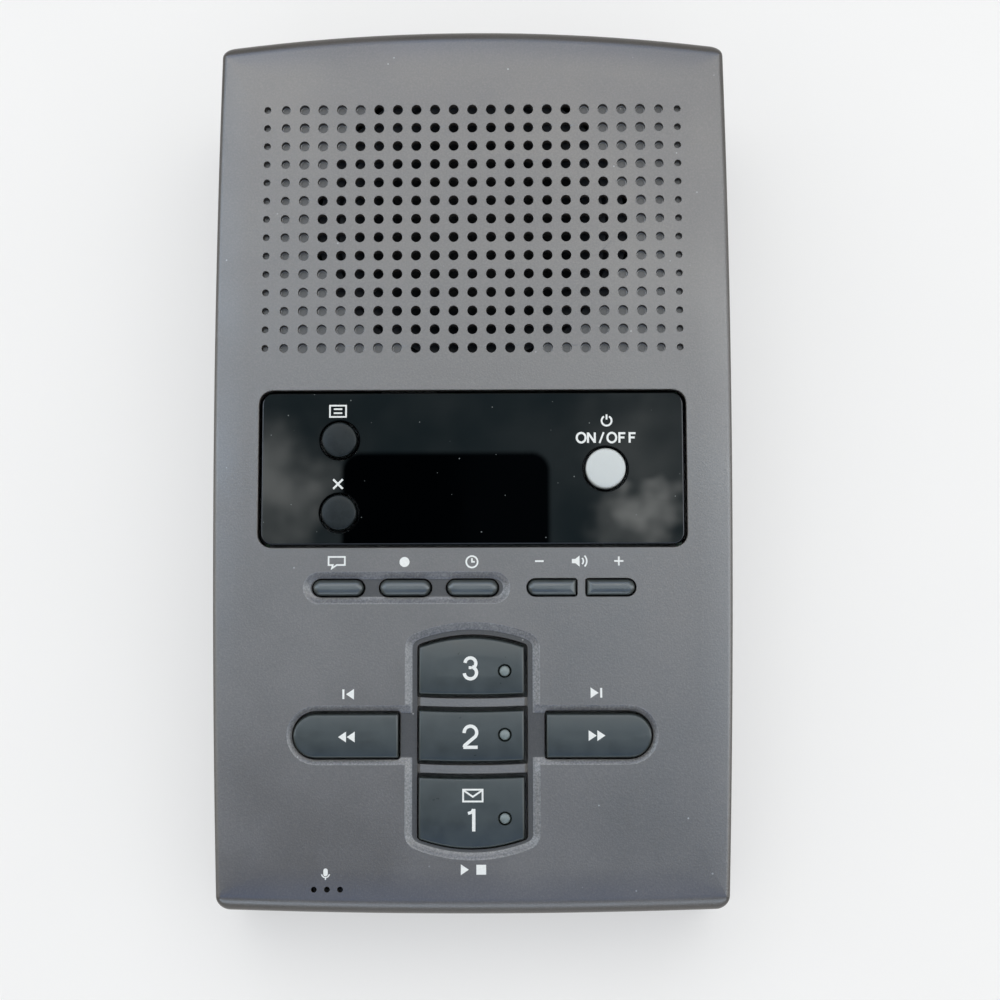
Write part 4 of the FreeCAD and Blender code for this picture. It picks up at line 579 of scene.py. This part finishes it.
mats = {
    # colour and roughness; level is how much the surface mirrors straight on, 0.5 as new
    # the keys' last two numbers say how much paler their smears are, and that level
    # the lens's three colours are its print, its painted reflection and the well of the display, with its
    # level last
    "cover": sparkErodedAbs("spark eroded ABS cover", "#3f3b36", 0.33),
    "case": sparkErodedAbs("spark eroded ABS case", "#434344", 0.42),
    # the sloping recess walls are painted pale: partly speckled wear, partly a painted highlight where the
    # slopes catch light
    "wearAndPaintedHighlight": sparkErodedAbs("ABS worn pale and painted as highlight at an edge", "#545351", 0.4, grit=0.42, bump=0.8, pits=0.5),
    "divider": sparkErodedAbs("spark eroded ABS divider", "#3e3c39", 0.4),
    # the recess floor is painted darker, as the shade that falls between the keys and the recess walls
    "shadedRecessFloor": sparkErodedAbs("matt ABS recess floor painted dark as shade", "#2b2a28", 0.46, level=0.26),
    # the dimples' floors are painted darker, as the shade inside the pits
    "shadedPitFloor": sparkErodedAbs("matt ABS dimple floor painted dark as shade", "#35332f", 0.42, level=0.3),
    "key": fingeredAbs("satin ABS key", "#18211f", 0.33, 1.2, 0.27),
    "smallKey": fingeredAbs("satin ABS small key", "#212928", 0.36, 1.2, 0.42),
    "blackKey": fingeredAbs("polished ABS black key", "#0c1314", 0.26, 1.4, 0.09),
    "whiteKey": fingeredAbs("satin ABS white key", "#b2b8b7", 0.45, 1.05),
    "lens": smokedAcrylic("smoked acrylic lens", "#0e181c", "#8f9190", "#000102", 0.003),

    # colour, roughness, grain in mm, spread of the colour, IOR
    "lensEdge": mottled("polished edge of the acrylic", "#0b0e10", 0.16, 1.2, 0.3, 1.3),   # a dark glint
    "lamp": mottled("diffused epoxy lamp", "#5d6865", 0.5, 0.6),                # milky, unlit
    "ink": mottled("screen printed ink", "#dfe3e2", 0.55, 0.5, 0.05),           # flat, hardly glossy
    "rubber": mottled("moulded rubber", "#1b1b1c", 0.85, 0.4, 0.2, 1.52, bump=0.3),        # dull, no glints
    "silicone": mottled("moulded silicone rubber", "#8d9091", 0.6, 0.8, 0.08, 1.43),       # chalky grey
    "laminate": mottled("solder masked glass epoxy laminate", "#1f5a34", 0.4, 1.2, 0.18),  # deep green gloss
    "epoxy": mottled("moulded chip epoxy", "#161718", 0.55, 0.3, 0.15),         # black with a fine grain
    "paper": mottled("doped paper cone", "#141414", 0.8, 0.7, 0.25, bump=0.4),  # fibres, no shine
    "ferrite": mottled("sintered ferrite", "#232426", 0.7, 0.5, 0.2, bump=0.3),
    "steel": mottled("black painted pressed steel", "#0b0b0c", 0.7, 0.8, 0.1, 1.3),        # dark in the holes
    "felt": mottled("black felt over a microphone can", "#0f0f10", 0.9, 0.3, 0.25, 1.3),   # swallows light
    "can": mottled("tinned steel", "#c9c9c6", 0.3, 0.9, 0.06, metallic=1.0),    # bright, a little frosted
    "zinc": mottled("zinc plated steel", "#c4c2b9", 0.34, 0.6, 0.1, metallic=1.0),
    "gold": mottled("gold plated bronze wire", "#e3bd6a", 0.25, 0.4, 0.06, metallic=1.0),
    "socket": mottled("moulded nylon socket", "#17181a", 0.42, 0.5, 0.12, 1.53),
    "relay": mottled("moulded relay case", "#c68f2b", 0.35, 1.0, 0.06),         # amber and smooth
    "ribbon": mottled("grey vinyl ribbon", "#9b9d9f", 0.5, 0.9, 0.06),
    "sleeve": mottled("painted battery jacket", "#2b3038", 0.35, 2.0, 0.08),
    "display": mottled("moulded display block", "#1a1b1d", 0.3, 0.5, 0.1),
}
print("materials ready:", len(mats))

# the finish of each CAD node that keeps its own shape
inside = {
    "case": ["bottom_case", "battery_door"],
    "rubber": ["rubber_foot_rear_right", "rubber_foot_rear_left", "rubber_foot_front_right",
               "rubber_foot_front_left", "microphone_boot"],
    "silicone": ["rubber_keypad"],
    "laminate": ["key_board", "line_board"],
    "epoxy": ["processor_chip", "voice_memory_chip", "voltage_regulator"],
    "paper": ["speaker_cone"],
    "ferrite": ["speaker_magnet", "line_transformer"],
    "steel": ["speaker_basket", "speaker_screws"],
    "can": ["crystal", "capacitors"],
    "felt": ["microphone"],
    "zinc": ["key_board_screws", "case_screws", "line_board_screws"],
    "gold": ["jack_contacts", "power_pin"],
    "socket": ["line_jack", "phone_jack", "power_jack", "battery_snap"],
    "relay": ["line_relay"],
    "ribbon": ["board_ribbon"],
    "sleeve": ["backup_battery"],
    "display": ["counter_display"],
}
for finish, names in inside.items():
    for name in names:
        for slot in nodes[name].material_slots:
            slot.material = mats[finish]
print("inner parts finished")

# the bowed plan, the walls and the rounded rim of the top cover, mm
housing = {
    "rearHalf": 54.0,        # half widths
    "frontHalf": 52.8,
    "sideBow": 1.36,
    "rearBow": 3.6,
    "frontBow": 1.0,
    "cornerRadius": 2.6,
    "leastCorner": 0.3,
    "endRound": 3.2,
    "sideRound": 1.2,
    "partingHeight": 20.0,
    "partingEdge": 0.25,
    "wall": 2.2,
    "hollowFoot": 2.0,       # the hollow's cutter starts this far under the parting line
    "crown": 0.3,            # how far the face falls away at its rim
    "crownReach": 6.0,
    "sideSteps": 28,
    "endSteps": 20,
    "cornerSteps": 8,
    "rimSteps": 8,
    "crownSteps": 6,
}


def planRing(insetSide, insetEnd, height, drop=None, corner=housing["leastCorner"]):
    # one ring round the bowed plan; drop(share) lowers it, with share 1 on an end and 0 on a side
    h = housing
    length = face["halfLength"]
    halfWidth, halfLength = h["rearHalf"] - insetSide, length - insetEnd
    rx, ry = max(h["cornerRadius"] - insetSide, corner), max(h["cornerRadius"] - insetEnd, corner)
    points = []
    for sx, sy, start in ((1, -1, 270), (1, 1, 0), (-1, 1, 90), (-1, -1, 180)):
        cx, cy = sx * (halfWidth - rx), sy * (halfLength - ry)
        for step in range(h["cornerSteps"] + 1):
            turn = math.radians(start + 90 * step / h["cornerSteps"])
            points.append((cx + rx * math.cos(turn), cy + ry * math.sin(turn), math.sin(turn) ** 2))
        x, y = points[-1][:2]
        along = sx == sy
        steps = h["endSteps"] if along else h["sideSteps"]
        for step in range(1, steps):
            t = 1 - 2 * step / steps
            points.append((x * t, y, 1.0) if along else (x, y * t, 0.0))
    ring = []
    for x, y, share in points:
        v = y / length
        halfHere = (h["rearHalf"] + h["frontHalf"]) / 2 + (h["rearHalf"] - h["frontHalf"]) / 2 * v
        halfHere += h["sideBow"] * (1 - v * v)
        px = x * halfHere / h["rearHalf"]
        u = min(abs(px) / h["rearHalf"], 1.0)
        bow = h["rearBow"] if y > 0 else h["frontBow"]
        py = y * (1 - bow * u * u / length)
        ring.append(Vector((px, py, height(py) - (drop(share) if drop else 0))) * mm)
    return ring


def faceHeight(y):
    return faceMiddle + y * math.tan(slope)


def coverShell():
    h = housing
    parting, edge = h["partingHeight"], h["partingEdge"]
    side, end, crown = h["sideRound"], h["endRound"], h["crown"]
    rings = [planRing(edge, edge, lambda y: parting), planRing(0.0, 0.0, lambda y: parting + edge)]
    for step in range(h["rimSteps"] + 1):
        turn = math.radians(90 * step / h["rimSteps"])
        inward, fall = 1 - math.cos(turn), 1 - math.sin(turn)
        rings.append(planRing(side * inward, end * inward, faceHeight,
                              lambda share: (side + (end - side) * share) * fall + crown))
    for step in range(1, h["crownSteps"] + 1):
        t = step / h["crownSteps"]
        reach = h["crownReach"] * t
        rings.append(planRing(side + reach, end + reach, faceHeight,
                              lambda share: crown * (1 - t) ** 2, h["leastCorner"] + reach))
    return loft(rings)


def coverHollow():
    wall = housing["wall"]
    return loft([
        planRing(wall, wall, lambda y: housing["partingHeight"] - housing["hollowFoot"]),
        planRing(wall, wall, lambda y: faceHeight(y) - wall),
    ])


# the field of holes over the loudspeaker, mm on the face
grille = {
    "pitch": 4.0,
    "columns": 23,
    "middle": 49.8,              # how far to the rear
    "hole": 1.05,                # radii
    "nextHole": 0.9,
    "outerHole": 0.7,
    "sides": 20,
    "rim": 0.1,                  # how much wider a hole is at its softened rim
    "rimShape": ((0.0, -0.14), (0.35, -0.04), (1.0, 0.0)),     # share of that, level
    "pit": 1.25,                 # depth of a blind dimple
    "pitShape": ((0.8, 0.0), (0.93, 0.08)),                    # share of its radius, height over its floor
    # how many holes each side of the middle column are open in each row, from the rear row forward
    "openEachSide": (5, 6, 6, 7, 7, 8, 8, 8, 8, 7, 7, 6, 5, 3),
}


def grilleCutters():
    g = grille
    side = g["columns"] // 2
    rows = len(g["openEachSide"])
    shapes = []
    for row, openSide in enumerate(g["openEachSide"]):
        y = g["middle"] + ((rows - 1) / 2 - row) * g["pitch"]
        for column in range(-side, side + 1):
            radius = (g["outerHole"], g["nextHole"], g["hole"])[min(side - abs(column), 2)]
            if abs(column) <= openSide:
                profile = [(radius, cutterReach["low"])]
            else:
                profile = [(radius * share, -g["pit"] + rise) for share, rise in g["pitShape"]]
            profile += [(radius + g["rim"] * share, level) for share, level in g["rimShape"]]
            profile.append((profile[-1][0], cutterReach["high"]))
            shapes.append(roundLoft(column * g["pitch"], y, profile, g["sides"]))
    return merge(shapes)


# what the holes and the recesses share, mm on the face
stackSides = {"left": -11.4, "right": 11.4}
skipRow = {"front": -62.6, "rear": -52.7}
pillRow = {"front": -29.0, "rear": -25.2}
bothRound = {"roundLeft": True, "roundRight": True}
keyHoles = {
    "mailbox_3_key": {**stackSides, "front": -49.95, "rear": -39.0, "rearBow": 2.1},
    "mailbox_2_key": {**stackSides, "front": -63.65, "rear": -51.55},
    "mailbox_1_key": {**stackSides, "front": -78.9, "rear": -65.25, "frontBow": 2.1},
    "repeat_key": {"left": -37.4, "right": -15.0, **skipRow, "roundLeft": True},
    "skip_key": {"left": 15.0, "right": 37.4, **skipRow, "roundRight": True},
    "greeting_key": {"left": -33.55, "right": -22.45, **pillRow, **bothRound},
    "set_key": {"left": -19.55, "right": -8.45, **pillRow, **bothRound},
    "time_key": {"left": -5.55, "right": 5.55, **pillRow, **bothRound},
    "volume_down_key": {"left": 11.3, "right": 21.9, **pillRow, "roundLeft": True},
    "volume_up_key": {"left": 23.6, "right": 34.2, **pillRow, "roundRight": True},
}
holeRim = {"width": 0.1, "depth": 0.12}
roundKeys = {
    # hole is its radius in the lens, and gap the ring of shadow round the key
    "memo_key": {"x": -28.0, "y": 4.1, "hole": 4.2, "gap": 0.5,
                 "finish": "blackKey", "slot": "black_key_plastic"},
    "erase_key": {"x": -28.0, "y": -11.3, "hole": 4.2, "gap": 0.5,
                  "finish": "blackKey", "slot": "black_key_plastic"},
    "answer_key": {"x": 28.0, "y": -2.1, "hole": 4.8, "gap": 0.6,
                   "finish": "whiteKey", "slot": "white_key_plastic"},
}
recess = {
    "depth": 0.6,                # mm
    # the mailbox keys' bar and the skip keys' bar make one cross; the third is the pills'
    "bars": (
        {**stackSides, "front": -78.5, "rear": -39.0, "frontBow": 2.1, "rearBow": 2.1, "margin": 2.1},
        {"left": -37.4, "right": 37.4, **skipRow, **bothRound, "margin": 0.65},
        {"left": -33.95, "right": 6.45, **pillRow, **bothRound, "margin": 0.95},
    ),
    # its walls slope down softly: mm out from the margin, share of the depth
    "flare": ((-1.3, 1.0), (-1.0, 0.96), (-0.5, 0.73), (0.0, 0.36), (0.36, 0.07), (0.55, 0.0)),
    "wearAndPaintedHighlight": (-0.97, -0.01),    # a wall is painted pale, as speckled wear and as a painted highlight, between this share of the depth and this level
    "around": (40, -84, -21),    # mm to the sides, to the front and to the rear that have such walls
    "flat": 0.992,               # cosine of the steepest ground that isn't a wall
    "tolerance": 0.03,           # mm that level ground may be off its depth
}
# mm on the face
lens = {
    "left": -44.5, "right": 44.5, "front": -18.05, "rear": 14.15, "corner": 2.4,
    "gap": 0.6,              # from its edge to the cover
    "top": -0.36,            # its level
    "thickness": 1.78,
    "under": 0.1,            # between it and its shelf
    "edge": 0.34,
    "edgeFaces": 0.985,      # what leans more than this cosine is its polished edge
    "bedRim": 0.12,
    "holeRim": 0.16,
    "holeSides": 48,
    "shelfGap": 0.5,         # the holes under it are this much wider than its own
    "shelfHoleSides": 40,
}
micHoles = {"x": -29.9, "y": -89.1, "pitch": 2.7, "radius": 0.6, "rim": 0.08, "rimDepth": 0.1}


def softRecess(bar):
    profile = [(bar["margin"] + grow, -recess["depth"] * share) for grow, share in recess["flare"]]
    return barLoft(bar, profile + [(profile[-1][0], cutterReach["high"])])


def makeCover():
    cover = newPiece("topCover", coverShell(), mats["cover"])
    cut(cover, coverHollow())
    cut(cover, grilleCutters())
    for bar in recess["bars"]:
        cut(cover, softRecess(bar))
    bed = lens["top"] - lens["thickness"] - lens["under"]
    cut(cover, barLoft(lens, rimmedHole(lens["gap"], 0.0, lens["bedRim"], lens["bedRim"], bed)))
    shapes = []
    for name, hole in keyHoles.items():
        top = 0.0 if name.startswith("volume") else -recess["depth"]
        shapes.append(barLoft(hole, rimmedHole(0.0, top, holeRim["width"], holeRim["depth"])))
    for key in roundKeys.values():
        radius = key["hole"] + lens["shelfGap"]
        profile = [(radius, cutterReach["deep"]), (radius, cutterReach["high"])]
        shapes.append(roundLoft(key["x"], key["y"], profile, lens["shelfHoleSides"]))
    for step in (-1, 0, 1):
        m = micHoles
        shapes.append(roundLoft(m["x"] + step * m["pitch"], m["y"],
                                rimmedHole(m["radius"], 0.0, m["rim"], m["rimDepth"])))
    cut(cover, merge(shapes))

    upright = (onFace(0, 0, 1) - onFace(0, 0, 0)) / mm
    low, high = recess["wearAndPaintedHighlight"][0] * recess["depth"], recess["wearAndPaintedHighlight"][1]
    aside, front, rear = recess["around"]

    def levelOf(polygon):
        return (polygon.center - onFace(0, 0)).dot(upright) / mm

    def wearAndPaintedHighlight(polygon):
        x, y = polygon.center.x / mm, polygon.center.y / mm
        return low < levelOf(polygon) < high and polygon.normal.dot(upright) < recess["flat"] \
            and abs(x) < aside and front < y < rear

    def flatAt(depth):
        # level ground at this depth under the face
        return lambda polygon: abs(levelOf(polygon) + depth) < recess["tolerance"] \
            and polygon.normal.dot(upright) > recess["flat"]

    # painted highlight and wear: the recess walls get a paler, speckled colour
    paint(cover, "wearAndPaintedHighlight", wearAndPaintedHighlight)
    # painted shade: the level floor of the recesses gets a darker colour
    paint(cover, "shadedRecessFloor", flatAt(recess["depth"]))
    # painted shade: the floors of the blind dimples get a darker colour
    paint(cover, "shadedPitFloor", flatAt(grille["pit"]))
    even(cover)
    takePlace(cover, "top_cover", "housing")


makeCover()
print("top cover made")


def makeLens():
    top = lens["top"]
    profile = [(0.0, top - lens["thickness"])] + roundedEdge(0.0, top, lens["edge"], 4)
    plate = newPiece("displayLens", barLoft(lens, profile), mats["lens"])
    holes = [roundLoft(key["x"], key["y"], rimmedHole(key["hole"], top, lens["holeRim"], holeRim["depth"]),
                       lens["holeSides"]) for key in roundKeys.values()]
    cut(plate, merge(holes))
    paint(plate, "lensEdge", lambda polygon: polygon.normal.z < lens["edgeFaces"])
    even(plate)
    takePlace(plate, "display_lens", "housing")


makeLens()
print("lens made")

# mm, and levels on the face
keys = {
    "top": 1.0,
    "foot": -2.6,
    "stemTip": -5.3,
    "stem": 1.2,             # half width
    "stemLap": 0.2,
    "clearance": 0.3,
    "edge": 0.5,
    "frontGap": 0.5,         # the mailbox keys are a little shorter than their holes
    "lastFrontGap": -0.1,
    "rearGap": 0.25,
    "stackRearGap": 0.6,
    "rightGap": 0.35,
    "bow": 0.28,             # the edges between the mailbox keys sag to the front
    "crown": 0.3,            # how far the front and rear of a large key's top lie below its middle
    "ridge": 0.3,            # half width of what the rings on its top leave in the middle
    "topRings": (0.15, 0.3, 0.45, 0.6, 0.75, 0.9),
    "slim": 5,               # a key whose hole is shorter than this is a pill
    "pillCorner": 0.35,
    "pillRound": 1.4,
    "pillCrown": 0.9,
    "pillSteps": 8,
}
roundCaps = {
    "skirt": 1.6,            # how much deeper than the other keys they reach
    "edge": 0.4,
    "dome": 0.08,
    "domeRings": (0.25, 0.5, 0.75, 0.95),
    "sides": 48,
}


def stem(x, y):
    return squarePost(x, y, keys["stem"], keys["stemTip"], keys["foot"] + keys["stemLap"])


def makeBarKey(node, hole):
    k = keys
    bar = dict(hole)
    slim = hole["rear"] - hole["front"] < k["slim"]
    if node.startswith("mailbox"):
        bar["rear"] -= k["stackRearGap"] if node != "mailbox_3_key" else k["rearGap"]
        bar["front"] += k["frontGap"] if node != "mailbox_1_key" else k["lastFrontGap"]
        bar["right"] -= k["rightGap"]
        bar["rearBow"] = hole.get("rearBow", -k["bow"])
        bar["frontBow"] = hole.get("frontBow", k["bow"])
    elif not slim:
        bar["rear"] -= k["rearGap"]
    outer, top = -k["clearance"], k["top"]
    ridge, reach = (bar["front"] + bar["rear"]) / 2, (bar["rear"] - bar["front"]) / 2
    if slim:
        bar["corner"] = k["pillCorner"]
        turns = [math.radians(90 * s / k["pillSteps"]) for s in range(k["pillSteps"] + 1)]
        profile = [(outer - k["pillRound"] * (1 - math.cos(t)), top - k["pillCrown"] * (1 - math.sin(t)))
                   for t in turns]
    else:
        profile = roundedEdge(outer, top, k["edge"])
        inner = min(bar["rear"] - bar["front"], bar["right"] - bar["left"]) / 2 - k["ridge"]
        last = profile[-1][0]
        profile += [(last - (inner + last) * share, top) for share in k["topRings"]]
    shape = barLoft(bar, [(outer, k["foot"])] + profile,
                    None if slim else lambda y: k["crown"] * ((y - ridge) / reach) ** 2)
    middle = ((hole["left"] + hole["right"]) / 2, (hole["front"] + hole["rear"]) / 2)
    return newPiece(node.replace("_", ".") + ".cap", merge([shape, stem(*middle)]),
                    mats["smallKey" if slim else "key"])


def makeRoundKey(node, key):
    c = roundCaps
    outer, rim = key["hole"] - key["gap"], keys["top"] - c["dome"]
    profile = [(outer, keys["foot"] - c["skirt"])] + roundedEdge(outer, rim, c["edge"])
    last = profile[-1][0]
    profile += [(last * (1 - s), rim + c["dome"] * (1 - (1 - s) ** 2)) for s in c["domeRings"]]
    shape = merge([roundLoft(key["x"], key["y"], profile, c["sides"]), stem(key["x"], key["y"])])
    return newPiece(node.replace("_", ".") + ".cap", shape, mats[key["finish"]])


lamp = {
    "x": 6.7,
    "frontShift": 2.6,       # in the front key it stands this much nearer the front
    "radius": 1.12,
    "shoulder": 0.5,         # levels on the face; the dome rises from here
    "dome": 0.36,
    "domeSteps": 6,
    "tip": (0.08, 0.87),     # radius and level
    "foot": 1.7,             # half width
    "footHeight": 1.6,
    "footLap": 0.1,
    "board": -9.0,
    "hole": 1.34,            # radius
    "holeShape": ((0.0, -3.5), (0.0, 0.75), (0.14, 0.92), (0.16, 1.5)),     # wider by, level
}


def lampPlace(hole):
    return lamp["x"], (hole["front"] + hole["rear"]) / 2 - (lamp["frontShift"] if hole.get("frontBow") else 0)


def makeLamp(node, hole):
    x, y = lampPlace(hole)
    footTop = lamp["board"] + lamp["footHeight"]
    turns = [math.radians(90 * s / lamp["domeSteps"]) for s in range(lamp["domeSteps"])]
    dome = [(lamp["radius"] * math.cos(t), lamp["shoulder"] + lamp["dome"] * math.sin(t)) for t in turns]
    body = roundLoft(x, y, [(lamp["radius"], footTop - lamp["footLap"])] + dome + [lamp["tip"]])
    foot = squarePost(x, y, lamp["foot"], lamp["board"], footTop)
    obj = newPiece(node.replace("_", ".") + ".dome", merge([foot, body]), mats["lamp"])
    takePlace(obj, node, "housing")


for node, hole in keyHoles.items():
    cap = makeBarKey(node, hole)
    if node.startswith("mailbox"):
        profile = [(lamp["hole"] + wider, level) for wider, level in lamp["holeShape"]]
        cut(cap, roundLoft(*lampPlace(hole), profile))
        makeLamp(node.replace("_key", "_lamp"), hole)
    even(cap)
    takePlace(cap, node, node + "_body")
for node, key in roundKeys.items():
    cap = makeRoundKey(node, key)
    even(cap)
    takePlace(cap, node, node + "_body")
print("keys and lamps made")

# two raised bars of the cover stand between the mailbox keys, bowed as the keys are
divider = {
    "middles": (-50.72, -64.42),
    "half": 0.9,
    "halfLength": 11.45,
    "corner": 0.08,
    "foot": -2.0,            # levels on the face
    "shoulder": -0.5,
    "top": 0.3,
    "slant": 0.6,            # how much its ends lean in on the way up
    "soft": 0.08,            # its top edge
    "narrow": 0.1,
}


def makeDividers():
    d = divider
    shapes = []
    for middle in d["middles"]:
        bar = {"left": -d["halfLength"], "right": d["halfLength"], "front": middle - d["half"],
               "rear": middle + d["half"], "corner": d["corner"], "frontBow": keys["bow"],
               "rearBow": -keys["bow"]}
        profile = ((d["foot"], 0.0, 0.0), (d["shoulder"], 0.0, 0.0), (d["top"] - d["soft"], d["slant"], 0.0),
                   (d["top"], d["slant"] + d["soft"], d["narrow"]))
        shapes.append(loft([
            [onFace(x * (1 - inset / d["halfLength"]), y + (narrow if y < middle else -narrow), level)
             for x, y in barOutline(bar, 0.0, 2, 8)]
            for level, inset, narrow in profile
        ]))
    bars = newPiece("mailboxDividers", merge(shapes), mats["divider"], 25.0)
    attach(bars, "housing")


makeDividers()

ink = {
    "stroke": 0.42,          # mm
    "thin": 0.34,
    "letter": 0.44,
    "digit": 0.68,
    "mitre": 0.4,            # a sharp corner's point is cut off below this share
    "lift": 0.012,           # mm over the surface, and between one stroke and the next
    "layer": 0.004,
}


def strokes(points, closed=False, width=None):
    # one layer: a flat ribbon of quads along a line, mitred at its corners
    half = (width or ink["stroke"]) / 2
    count = len(points)
    sides = []
    for index, (x, y) in enumerate(points):
        before = points[index - 1] if index or closed else None
        after = points[(index + 1) % count] if index < count - 1 or closed else None
        ways = []
        for (x0, y0), (x1, y1) in ((before or (x, y), (x, y)), ((x, y), after or (x, y))):
            length = math.hypot(x1 - x0, y1 - y0)
            if length:
                ways.append(((x1 - x0) / length, (y1 - y0) / length))
        ux, uy = sum(w[0] for w in ways), sum(w[1] for w in ways)
        length = math.hypot(ux, uy)
        ux, uy = ux / length, uy / length
        reach = half / max(ux * ways[0][0] + uy * ways[0][1], ink["mitre"])
        sides.append(((x - uy * reach, y + ux * reach), (x + uy * reach, y - ux * reach)))
    pairs = zip(sides, sides[1:] + sides[:1] if closed else sides[1:])
    return [[[a[1], b[1], b[0], a[0]] for a, b in pairs]]


def arc(radius, start, end, cx=0.0, cy=0.0, count=14):
    turns = [math.radians(start + (end - start) * s / count) for s in range(count + 1)]
    return [(cx + radius * math.cos(t), cy + radius * math.sin(t)) for t in turns]


def arrow(x, size, side=1):
    return [(x, -size), (x + side * size * 1.5, 0.0), (x, size)]


def letters(word, pitch, width=ink["letter"]):
    # a plain sans, 2.2 mm high
    turns = [math.pi * s / 12 for s in range(24)]
    forms = {
        "O": strokes([(0.93 * math.cos(t), 1.02 * math.sin(t)) for t in turns], True, width),
        "N": strokes([(-0.72, -1.1), (-0.72, 1.1)], width=width)
             + strokes([(-0.68, 1.0), (0.68, -1.0)], width=width)
             + strokes([(0.72, -1.1), (0.72, 1.1)], width=width),
        "F": strokes([(-0.55, -1.1), (-0.55, 0.92), (0.7, 0.92)], width=width)
             + strokes([(-0.55, 0.02), (0.52, 0.02)], width=width),
        "/": strokes([(-0.45, -1.15), (0.45, 1.15)], width=width * 0.85),
    }
    layers = []
    for index, letter in enumerate(word):
        middle = (index - (len(word) - 1) / 2) * pitch
        layers += [[[(x + middle, y) for x, y in shape] for shape in layer] for layer in forms[letter]]
    return layers


# the mailbox numbers, 4.8 mm high
wide = ink["digit"]
one = strokes([(-0.8, 1.38), (0.0, 1.62), (0.3, 2.2)], width=wide * 0.9)
one += strokes([(0.38, -2.28), (0.38, 2.28)], width=wide)
two = strokes(arc(1.3, 185, -40, 0, 0.88) + [(-1.15, -1.75), (-1.32, -2.15)], width=wide)
two += strokes([(-1.45, -2.15), (1.5, -2.15)], width=wide)
three = strokes(arc(1.13, 175, -70, 0, 1.02), width=wide)
three += strokes([(-0.35, 0.12), (0.25, 0.12)], width=wide * 0.9)
three += strokes(arc(1.27, 75, -175, 0, -0.92, 18), width=wide)

# plain pictograms, in millimetres about their own middles
thin = ink["thin"]
note = strokes([(-1.7, -1.2), (1.7, -1.2), (1.7, 1.2), (-1.7, 1.2)], True, thin)
note += strokes([(-0.9, 0.45), (0.9, 0.45)], width=thin) + strokes([(-0.9, -0.4), (0.9, -0.4)], width=thin)
envelope = strokes([(-2.0, -1.2), (2.0, -1.2), (2.0, 1.2), (-2.0, 1.2)], True, 0.36)
envelope += strokes([(-1.9, 1.05), (0.0, -0.25), (1.9, 1.05)], width=0.36)
clock = strokes(arc(1.2, 0, 360, count=24), width=thin)
clock += strokes([(0.0, 0.75), (0.0, 0.0), (0.6, 0.0)], width=thin)
bubble = [(-1.7, -0.6), (-0.8, -0.6), (-1.0, -1.3), (0.0, -0.6), (1.7, -0.6), (1.7, 1.1), (-1.7, 1.1)]
speech = strokes(bubble, True, thin)
dot = [[circle(0, 0, 1.05)]]
minus = strokes([(-0.9, 0), (0.9, 0)], width=thin)
plus = strokes([(-0.95, 0), (0.95, 0)], width=thin) + strokes([(0, -0.95), (0, 0.95)], width=thin)
trumpet = [[[(-1.5, -0.45), (-0.8, -0.45), (0.1, -1.15), (0.1, 1.15), (-0.8, 0.45), (-1.5, 0.45)]]]
trumpet += strokes(arc(0.9, -45, 45), width=0.32) + strokes(arc(1.6, -45, 45), width=0.32)
powerSign = strokes(arc(1.05, 120, 420, count=22), width=0.38)
powerSign += strokes([(0.0, 1.35), (0.0, 0.25)], width=0.38)
crossOut = strokes([(-1.0, -1.0), (1.0, 1.0)]) + strokes([(-1.0, 1.0), (1.0, -1.0)])
toStart = [[arrow(1.3, 1.1, -1)]] + strokes([(-0.9, -1.0), (-0.9, 1.0)])
toEnd = [[arrow(-1.3, 1.1)]] + strokes([(0.9, -1.0), (0.9, 1.0)])
backward = [[arrow(2.0, 1.1, -1)], [arrow(0.2, 1.1, -1)]]
forward = [[arrow(-2.0, 1.1)], [arrow(-0.2, 1.1)]]
playStop = [[arrow(-2.6, 1.1)], [[(0.6, -1.0), (2.6, -1.0), (2.6, 1.0), (0.6, 1.0)]]]
micSign = [[arc(0.45, 0, 180, 0, 0.65) + arc(0.45, 180, 360, 0, -0.05)]]
micSign += strokes(arc(0.8, 190, 350, 0, 0.05), width=0.24) + strokes([(0, -0.75), (0, -1.2)], width=0.26)

pictures = [
    # layers, x, y, level, body
    (note, -28.4, 10.3, lens["top"], "housing"),
    (crossOut, -28.3, -5.2, lens["top"], "housing"),
    (powerSign, 28.3, 8.1, lens["top"], "housing"),
    (speech, -28.4, -21.7, 0.0, "housing"),
    (dot, -14.2, -21.7, 0.0, "housing"),
    (clock, -0.1, -21.7, 0.0, "housing"),
    (minus, 14.0, -21.6, 0.0, "housing"),
    (trumpet, 22.3, -21.6, 0.0, "housing"),
    (plus, 30.6, -21.6, 0.0, "housing"),
    (toStart, -25.9, -49.2, 0.0, "housing"),
    (toEnd, 25.8, -49.0, 0.0, "housing"),
    (backward, -26.3, -58.0, keys["top"], "repeat_key_body"),
    (forward, 26.0, -57.8, keys["top"], "skip_key_body"),
    (three, -0.4, -43.9, keys["top"], "mailbox_3_key_body"),
    (two, -0.4, -58.0, keys["top"], "mailbox_2_key_body"),
    (one, -0.1, -75.0, keys["top"], "mailbox_1_key_body"),
    (envelope, 0.1, -70.0, keys["top"], "mailbox_1_key_body"),
    (letters("ON/OFF", 2.15), 28.3, 4.5, lens["top"], "housing"),
    (playStop, 0.2, -85.1, 0.0, "housing"),
    (micSign, -30.2, -85.9, 0.0, "housing"),
]

for index, (layers, x, y, level, body) in enumerate(pictures):
    verts, faces = [], []
    for step, layer in enumerate(layers):
        lift = level + ink["lift"] + step * ink["layer"]
        for shape in layer:
            faces.append(tuple(range(len(verts), len(verts) + len(shape))))
            verts += [onFace(x + dx, y + dy, lift) for dx, dy in shape]
    mark = newPiece(f"mark.{index:02d}", (verts, faces), mats["ink"])
    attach(mark, body)
print("marks printed:", len(pictures))
